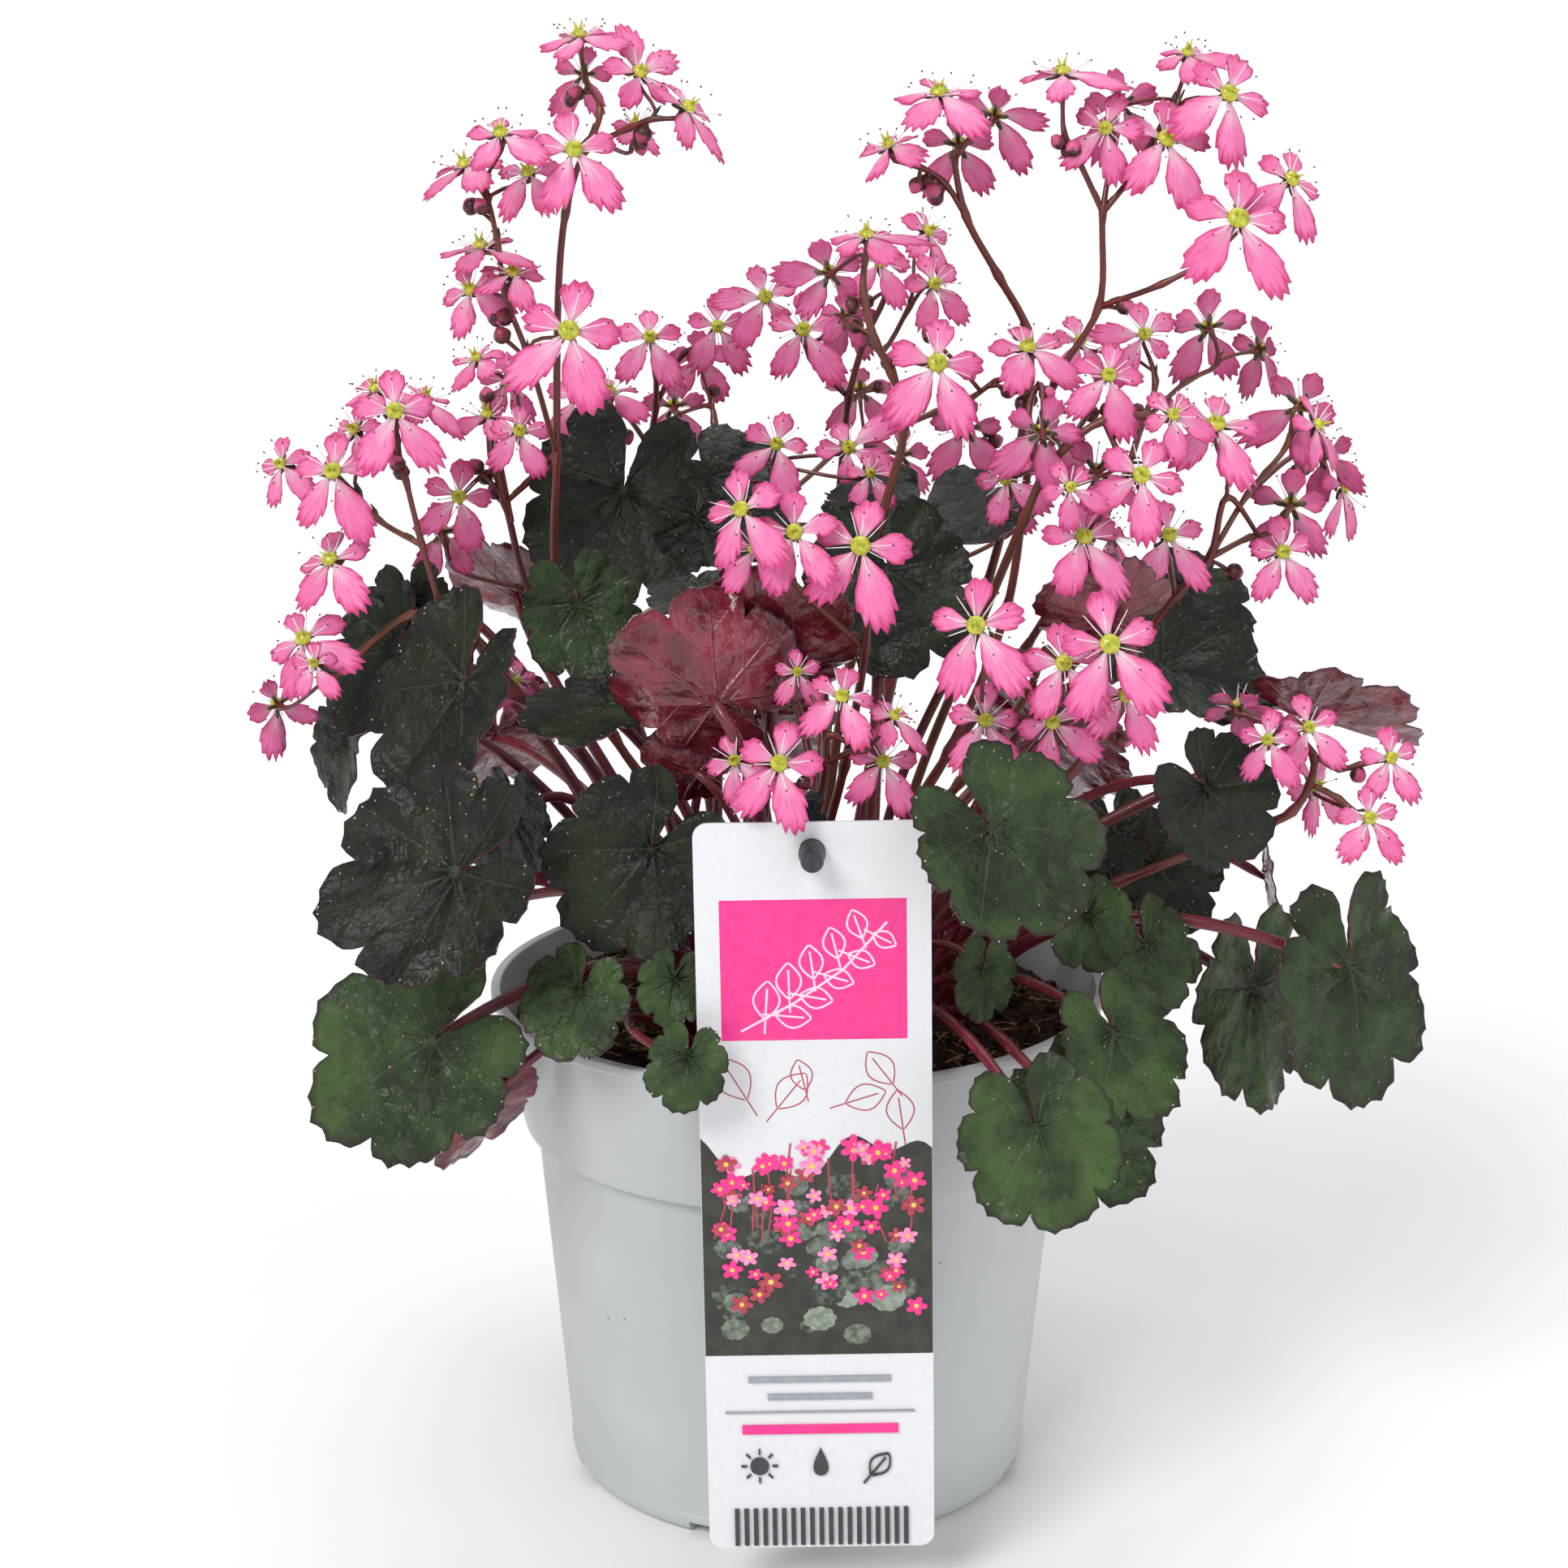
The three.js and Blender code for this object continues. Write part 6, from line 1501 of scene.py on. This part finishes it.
def make_stake():
    """The card's stake: a cross-shaped post with wings, a domed head and a peg through the hole."""
    foot = SOIL_TOP - STAKE_ROOT
    neck = CARD_HOLE_Z + WING_HEIGHT + 1
    middle = (neck + foot) / 2
    shell = Shell()
    add_box(shell, (STAKE_WIDTH, 0.9, neck - foot), (CARD_X, STAKE_Y, middle), 0.2)
    add_box(shell, (0.9, STAKE_DEPTH, neck - foot - 0.4), (CARD_X, STAKE_Y, middle), 0.2)
    wing = CARD_HOLE_Z + WING_HEIGHT / 2
    add_box(shell, (WING_WIDTH, WING_DEPTH, WING_HEIGHT), (CARD_X, STAKE_Y, wing), 0.35)
    line = [np.array([CARD_X, STAKE_Y, neck - 0.2 + HEAD_HEIGHT * s]) for s, _ in HEAD_SHARES]
    add_tube(shell, line, [HEAD_RADIUS * k for _, k in HEAD_SHARES], 24, 0, 0.5)
    seam = (0.35, 1.8 * HEAD_RADIUS, 0.8 * HEAD_HEIGHT)
    add_box(shell, seam, (CARD_X, STAKE_Y, neck + 0.58 * HEAD_HEIGHT), 0.1)
    reach = STAKE_Y - CARD_Y + CARD_THICKNESS + PEG_LENGTH
    line = [np.array([CARD_X, STAKE_Y - reach * s, CARD_HOLE_Z]) for s, _ in PEG_SHARES]
    add_tube(shell, line, [PEG_RADIUS * k for _, k in PEG_SHARES], 24, 0, 0.5)
    add_box(shell, (0.4, 0.5, 1.7 * PEG_RADIUS), (CARD_X, STAKE_Y - reach, CARD_HOLE_Z), 0.1)
    add_box(shell, (0.4, 7, 0.6), (CARD_X, STAKE_Y - reach + 3.6, CARD_HOLE_Z + PEG_RADIUS), 0.1)
    return shell


# Materials


def rgb(code):
    """A colour socket's value for a web colour."""
    parts = [int(code[i : i + 2], 16) / 255 for i in (0, 2, 4)]
    return [p / 12.92 if p <= 0.04045 else ((p + 0.055) / 1.055) ** 2.4 for p in parts] + [1.0]


class Signal:
    """A number or colour that a shader works out. Each sign between two numbers adds a math node."""

    def __init__(self, look, socket):
        self.look, self.socket = look, socket

    def math(self, operation, other=0.0):
        node = self.look.node("Math")
        node.operation = operation
        for socket, value in zip(node.inputs, (self, other, 0.0)):
            self.look.link(socket, value)
        return Signal(self.look, node.outputs[0])

    def __add__(self, other):
        return self.math("ADD", other)

    def __sub__(self, other):
        return self.math("SUBTRACT", other)

    def __mul__(self, other):
        return self.math("MULTIPLY", other)

    def __truediv__(self, other):
        return self.math("DIVIDE", other)

    def __abs__(self):
        return self.math("ABSOLUTE")


class Look:
    """One material, with short ways to add the nodes that it needs."""

    def __init__(self, name, roughness, **fixed):
        self.material = bpy.data.materials.new(name)
        self.material.use_nodes = True
        self.tree = self.material.node_tree
        self.shader = self.tree.nodes["Principled BSDF"]
        self.base = None
        for socket, value in dict(Roughness=roughness, **fixed).items():
            self.shader.inputs[socket.replace("_", " ")].default_value = value
        form = self.node("Attribute")
        form.attribute_name = "form"
        split = self.node("SeparateXYZ", Vector=form.outputs["Vector"])
        self.out, self.lobe, self.share = (Signal(self, socket) for socket in split.outputs)
        self.tone = Signal(self, form.outputs["Alpha"])
        self.place = self.node("TexCoord").outputs["Object"]

    def node(self, kind, **inputs):
        node = self.tree.nodes.new("ShaderNode" + kind)
        for socket, value in inputs.items():
            self.link(node.inputs[socket.replace("_", " ")], value)
        return node

    def link(self, socket, value):
        """Sets a socket, or links it to what works it out."""
        value = value.socket if isinstance(value, Signal) else value
        if isinstance(value, bpy.types.NodeSocket):
            self.tree.links.new(value, socket)
        else:
            socket.default_value = value

    def ease(self, value, low, high, start=0.0, end=1.0):
        """Goes smoothly from start to end as value goes from low to high."""
        node = self.node("MapRange")
        node.interpolation_type = "SMOOTHSTEP"
        names = ("Value", "From Min", "From Max", "To Min", "To Max")
        for name, part in zip(names, (value, low, high, start, end)):
            self.link(node.inputs[name], part)
        return Signal(self, node.outputs[0])

    def noise(self, scale, detail=3.0, roughness=0.55, where=None):
        sockets = dict(Vector=where or self.place, Scale=scale, Detail=detail, Roughness=roughness)
        return Signal(self, self.node("TexNoise", **sockets).outputs["Fac"])

    def spots(self, scale, size, share):
        """Small round spots in some of the cells of a scattered grid."""
        cells = self.node("TexVoronoi", Vector=self.place, Scale=scale)
        dot = self.ease(cells.outputs["Distance"], size, size * 0.6)
        chosen = self.node("SeparateColor", Color=cells.outputs["Color"]).outputs[0]
        return dot * Signal(self, chosen).math("LESS_THAN", share)

    def mix(self, factor, a, b):
        node = self.node("Mix")
        node.data_type = "RGBA"
        for number, value in ((0, factor), (6, a), (7, b)):
            self.link(node.inputs[number], rgb(value) if isinstance(value, str) else value)
        return Signal(self, node.outputs[2])

    def colour(self, factor, a, b):
        """Makes the base colour go from one colour to another."""
        self.base = self.mix(factor, a, b)
        self.link(self.shader.inputs["Base Color"], self.base)

    def over(self, factor, code):
        """Lays a colour over the base colour."""
        self.colour(factor, self.base, code)

    def rough(self, scale, detail, smooth, dull):
        """A roughness that goes up and down over the surface."""
        level = self.ease(self.noise(scale, detail), 0.3, 0.7, smooth, dull)
        self.link(self.shader.inputs["Roughness"], level)

    def bump(self, height, distance, strength=1.0):
        node = self.node("Bump", Height=height, Distance=distance * MM, Strength=strength)
        before = self.shader.inputs["Normal"].links
        if before:
            self.tree.links.new(before[0].from_socket, node.inputs["Normal"])
        for socket in ("Normal", "Coat Normal"):
            self.tree.links.new(node.outputs["Normal"], self.shader.inputs[socket])


VEIN_SPACING = 5.2


def leaf_veins(look):
    """Shares of the main veins and of their branches at a place on a blade."""
    r = look.out * BLADE_UNIT
    apart = r * look.lobe * (math.pi / LOBES)
    wobble = (look.noise(160.0) - 0.5) * 0.9
    apart = abs(apart + wobble)
    main = look.ease(apart, look.ease(look.share, 0.0, 1.0, 0.62, 0.2), 0.05)
    slant = r - apart * 1.1 + wobble * 1.5
    cell = abs((slant / VEIN_SPACING).math("FRACT") - 0.5)
    side = look.ease(cell * VEIN_SPACING, 0.3, 0.05)
    return main, side * look.ease(look.share, 0.98, 0.55, 0.15, 0.75)


def leaf_top_look():
    look = Look("leaf_top", 0.5, Specular_IOR_Level=0.28)
    main, side = leaf_veins(look)
    mottle = look.ease(look.noise(75.0, 6.0, 0.6), 0.34, 0.68)
    fine = look.ease(look.noise(800.0, 4.0, 0.65), 0.35, 0.72)
    dark = look.mix(mottle, "080b06", "191e14")
    green = look.mix(mottle, "202e16", "435a2c")
    look.colour(look.tone * look.ease(look.share, 0.0, 0.75, 0.7, 1.0), dark, green)
    look.over(fine * 0.12, "46523f")
    look.over(main * 0.14, "6d7560")
    look.over(side * 0.06, "4c5c49")
    look.over(look.ease(look.share, 0.93, 1.0, 0.0, 0.75), "24141a")
    look.over(look.spots(700.0, 0.13, 0.16), "9aa698")
    margin = look.ease(look.share, 0.84, 0.97)
    look.over(look.spots(700.0, 0.18, 0.35) * margin, "b4b8ae")
    look.over(look.spots(400.0, 0.13, 0.4) * look.ease(look.noise(22.0, 1.0), 0.6, 0.7), "d08a4c")
    look.rough(90.0, 5.0, 0.36, 0.58)
    for scale, detail, height in ((75.0, 2.0, 3.0), (330.0, 2.0, 0.85), (900.0, 1.0, 0.25)):
        look.bump(look.noise(scale, detail, 0.5), height)
    look.bump(main + side * 0.6, -0.3, 0.6)
    return look.material


def leaf_under_look():
    look = Look("leaf_under", 0.3, Specular_IOR_Level=0.45, Coat_Weight=0.6, Coat_Roughness=0.12)
    main, side = leaf_veins(look)
    look.colour(look.ease(look.noise(110.0, 5.0), 0.3, 0.72), "520c1c", "862238")
    look.over(look.tone * 0.3, "6b4a3c")
    look.over(main * 0.4, "a05563")
    look.over(side * 0.18, "95505e")
    look.over(look.ease(look.share, 0.95, 1.0, 0.0, 0.7), "2c1218")
    look.rough(200.0, 3.0, 0.2, 0.38)
    look.bump(look.noise(80.0, 2.0, 0.5), 3.5)
    look.bump(look.noise(350.0, 2.0, 0.5), 0.7, 0.8)
    look.bump(main + side * 0.5, 0.4, 0.8)
    return look.material


def stalk_look(name, dark, light, green, share):
    """Stalks and stems: streaks along them, and redder or greener from one to the next."""
    look = Look(name, 0.34, Specular_IOR_Level=0.5, Coat_Weight=0.15, Coat_Roughness=0.3)
    along, around = look.out * 6.0, look.lobe * 9.0
    where = look.node("CombineXYZ", X=along, Y=around, Z=look.tone * 40.0).outputs[0]
    look.colour(look.ease(look.noise(3.0, 4.0, 0.6, where), 0.35, 0.68), dark, light)
    look.over(look.ease(look.tone, 0.55, 1.0, 0.0, share), green)
    look.rough(500.0, 3.0, 0.25, 0.45)
    look.bump(look.noise(1400.0), 0.15, 0.6)
    return look.material


def petal_look(name, base, body, edge, deep):
    """Petals: pale at the foot with fine streaks, pink, and deeper towards the toothed edge."""
    look = Look(name, 0.5, Specular_IOR_Level=0.3, Sheen_Weight=0.1, Subsurface_Weight=0.1)
    look.shader.inputs["Subsurface Scale"].default_value = 0.001
    look.shader.inputs["Subsurface Radius"].default_value = (1.0, 0.35, 0.5)
    across, along = look.lobe * 13.0, look.share * 1.6
    where = look.node("CombineXYZ", X=across, Y=along, Z=look.tone * 60.0).outputs[0]
    streak = look.noise(1.6, 3.0, 0.6, where)
    sway = (streak - 0.5) * 0.6
    look.colour(look.ease(look.share + sway, 0.08, 0.62), base, body)
    look.over(look.ease(streak, 0.54, 0.72, 0.0, 0.4), edge)
    aside = abs(look.lobe - 0.5)
    rim = look.ease(look.share + sway, 0.72, 1.02).math("MAXIMUM", look.ease(aside, 0.4, 0.5))
    look.over(rim * look.ease(look.share, 0.25, 0.75) * 0.85, edge)
    look.over(look.ease(look.tone, 0.3, 1.0, 0.0, 0.35), deep)
    look.bump(streak, 0.35, 0.7)
    look.bump(look.noise(700.0), 0.2, 0.5)
    return look.material


def plain_look(name, dark, light, roughness, scale, bump=0.1, **fixed):
    """Small parts: two near tones in a fine pattern, and a slight grain."""
    look = Look(name, roughness, **fixed)
    look.colour(look.ease(look.noise(scale), 0.35, 0.68), dark, light)
    look.bump(look.noise(scale * 2.0), bump, 0.5)
    return look.material


def bud_look():
    look = Look("bud", 0.4, Specular_IOR_Level=0.5)
    calyx = look.mix(look.ease(look.noise(600.0), 0.35, 0.68), "2e1714", "6b2a2c")
    tip = look.mix(look.tone, "8c2a45", "e0629a")
    ragged = (look.noise(700.0, 2.0) - 0.5) * 0.5
    look.colour(look.ease(look.share + ragged, 0.5, 0.68), calyx, tip)
    look.bump(look.noise(900.0), 0.25, 0.7)
    return look.material


def eye_look():
    look = Look("eye", 0.28, Specular_IOR_Level=0.55, Coat_Weight=0.3, Coat_Roughness=0.2)
    look.colour(look.ease(look.noise(900.0, 2.0), 0.35, 0.65), "a9a812", "d9d43a")
    look.over(look.ease(look.share, 0.2, 1.0, 0.0, 0.5), "93a631")
    look.bump(look.noise(1800.0, 2.0), 0.12, 0.6)
    return look.material


def pot_look():
    look = Look("pot", 0.4, Specular_IOR_Level=0.5)
    look.colour(look.ease(look.noise(14.0, 4.0), 0.3, 0.72), "b3b8b9", "bfc4c5")
    look.over(look.ease(look.noise(60.0, 6.0, 0.7), 0.58, 0.78, 0.0, 0.22), "a2a5a1")
    look.over(look.spots(260.0, 0.10, 0.05), "6f6a5e")
    look.over(look.spots(95.0, 0.035, 0.16), "4d463c")
    look.rough(45.0, 4.0, 0.36, 0.5)
    look.bump(look.noise(1500.0, 2.0), 0.03, 0.5)
    look.bump(look.noise(30.0, 2.0), 0.25, 0.3)
    return look.material


def soil_look():
    look = Look("soil", 0.92, Specular_IOR_Level=0.25)
    look.colour(look.ease(look.noise(700.0, 5.0, 0.7), 0.3, 0.72), "140c07", "3d281a")
    look.over(look.ease(look.noise(140.0), 0.5, 0.75, 0.0, 0.6), "4a3322")
    look.over(look.ease(look.tone, 0.82, 1.0, 0.0, 0.5), "7c6248")
    look.bump(look.noise(500.0, 6.0, 0.7), 1.2)
    return look.material


def print_look(name, code, other, scale=500.0):
    """A glossy printed layer in two near tones. Its form's fourth number makes a patch lighter."""
    look = Look(name, 0.36, Specular_IOR_Level=0.45, Coat_Weight=0.25, Coat_Roughness=0.25)
    cloud = look.ease(look.noise(scale), 0.35, 0.7, -0.25, 0.25)
    look.colour(cloud + look.tone, code, other)
    look.bump(look.noise(2500.0, 2.0), 0.01, 0.3)
    return look.material


POT_LOOK = pot_look()
LEAF_LOOKS = [
    leaf_top_look(),
    leaf_under_look(),
    stalk_look("leaf_stalk", "470f1b", "8a2a3c", "5f2e28", 0.5),
    plain_look("hair", "a87a7c", "cfaaa8", 0.5, 900.0),
]
FLOWER_LOOKS = [
    petal_look("petal_front", "f6cfe1", "ec7eb2", "bf2069", "d64b8d"),
    petal_look("petal_back", "ebc2d6", "df74a6", "b32c6b", "c64d87"),
    plain_look("filament", "ecd9e0", "fbf3f6", 0.5, 900.0),
    plain_look("anther", "55182a", "8a3049", 0.6, 1500.0),
    eye_look(),
    plain_look("sepal", "33301a", "625a2c", 0.5, 500.0, 0.2),
    stalk_look("stem", "3f1312", "7d2b26", "74522c", 0.3),
    bud_look(),
]
CARD_LOOKS = [
    print_look("card_stock", "d8dade", "e0e2e6"),
    print_look("ink_pink", "e81f80", "f23c95"),
    print_look("ink_pale", "f3c6dc", "f9dcea"),
    print_look("ink_yellow", "d8b83a", "ead25e"),
    print_look("ink_dark", "14180f", "3a3c30", 260.0),
    print_look("ink_leaf", "252c22", "8f9a8c", 700.0),
    print_look("ink_red", "9c2440", "c04a5c"),
    print_look("ink_rose", "ee6fae", "f8a6cd"),
    print_look("ink_grey", "8d9298", "a0a5aa"),
    print_look("ink_black", "2c2f33", "3d4146"),
]
SOIL_LOOKS = [soil_look(), plain_look("fibre", "5d452c", "a98a62", 0.85, 700.0)]
STAKE_LOOK = plain_look("stake", "1f2329", "31363d", 0.42, 300.0, 0.1, Specular_IOR_Level=0.5)


# Pieces

EDGE_SHARP = 30
LEAF_SEED = 100
FLOWER_SEED = 500


def put(piece, node):
    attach(piece, "root")
    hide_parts(node)


put(make_pot(), "pot")
put(make_soil().build("soil_bed", SOIL_LOOKS), "soil")
put(make_card().build("card", CARD_LOOKS, EDGE_SHARP), "label_card")
put(make_stake().build("stake", [STAKE_LOOK], EDGE_SHARP), "label_stake")
for seed, clump in enumerate(clumps, LEAF_SEED):
    put(make_clump(clump, seed).build("plant_" + clump.name, LEAF_LOOKS), clump.name)
for seed, spray in enumerate(sprays, FLOWER_SEED):
    put(make_spray(spray, seed).build("plant_" + spray.name, FLOWER_LOOKS), spray.name)


# Floor, lights and camera, in metres

FLOOR_REACH = 90


def floor():
    """A wide flat pale floor."""
    mesh = bpy.data.meshes.new("floor")
    corners = [(FLOOR_REACH * x, FLOOR_REACH * y, 0) for x, y in ((-1, -1), (1, -1), (1, 1), (-1, 1))]
    mesh.from_pydata(corners, [], [[0, 1, 2, 3]])
    look = Look("floor", 0.8, Specular_IOR_Level=0.1)
    look.colour(look.ease(look.noise(2.0, 2.0), 0.3, 0.7), "f4f4f5", "f8f8f9")
    mesh.materials.append(look.material)
    piece = bpy.data.objects.new("floor", mesh)
    bpy.context.scene.collection.objects.link(piece)


def sun(name, place, strength, angle, tint):
    """A far light that shines from a place towards the plant, softer with a wider angle."""
    light = bpy.data.lights.new(name, "SUN")
    light.energy, light.angle, light.color = strength, math.radians(angle), tint
    lamp = bpy.data.objects.new(name, light)
    lamp.rotation_euler = Vector(place).to_track_quat("Z", "Y").to_euler()
    bpy.context.scene.collection.objects.link(lamp)


floor()
sun("key", (-0.6, -0.85, 0.9), 1.9, 26, (1.0, 0.99, 0.97))
sun("fill", (1.0, -0.9, 0.7), 0.9, 60, (0.97, 0.98, 1.0))
sun("top", (0.1, 0.5, 1.2), 1.3, 50, (1.0, 1.0, 1.0))

# The sky is white just over the horizon and dimmer above
world = bpy.data.worlds.new("studio")
world.use_nodes = True
tree = world.node_tree
backdrop = tree.nodes["Background"]
backdrop.inputs["Color"].default_value = (0.98, 0.985, 1.0, 1.0)
kinds = ("SeparateXYZ", "MapRange", "TexCoord")
split, band, coordinates = (tree.nodes.new("ShaderNode" + kind) for kind in kinds)
for socket, value in (("From Min", 0.03), ("From Max", 0.15), ("To Min", 1.0), ("To Max", 0.3)):
    band.inputs[socket].default_value = value
tree.links.new(coordinates.outputs["Generated"], split.inputs[0])
tree.links.new(split.outputs["Z"], band.inputs["Value"])
tree.links.new(band.outputs[0], backdrop.inputs["Strength"])
bpy.context.scene.world = world
bpy.context.scene.view_settings.view_transform = "Standard"

SENSOR_WIDTH = 36
camera = bpy.data.objects.new("camera", bpy.data.cameras.new("camera"))
camera.data.sensor_width = SENSOR_WIDTH
camera.data.lens = SENSOR_WIDTH * VIEW.focal / IMAGE_SIZE
camera.location = (VIEW.x * MM, VIEW.y * MM, VIEW.z * MM)
camera.rotation_euler = (math.pi / 2 - VIEW.pitch, 0, 0)
bpy.context.scene.collection.objects.link(camera)
bpy.context.scene.camera = camera
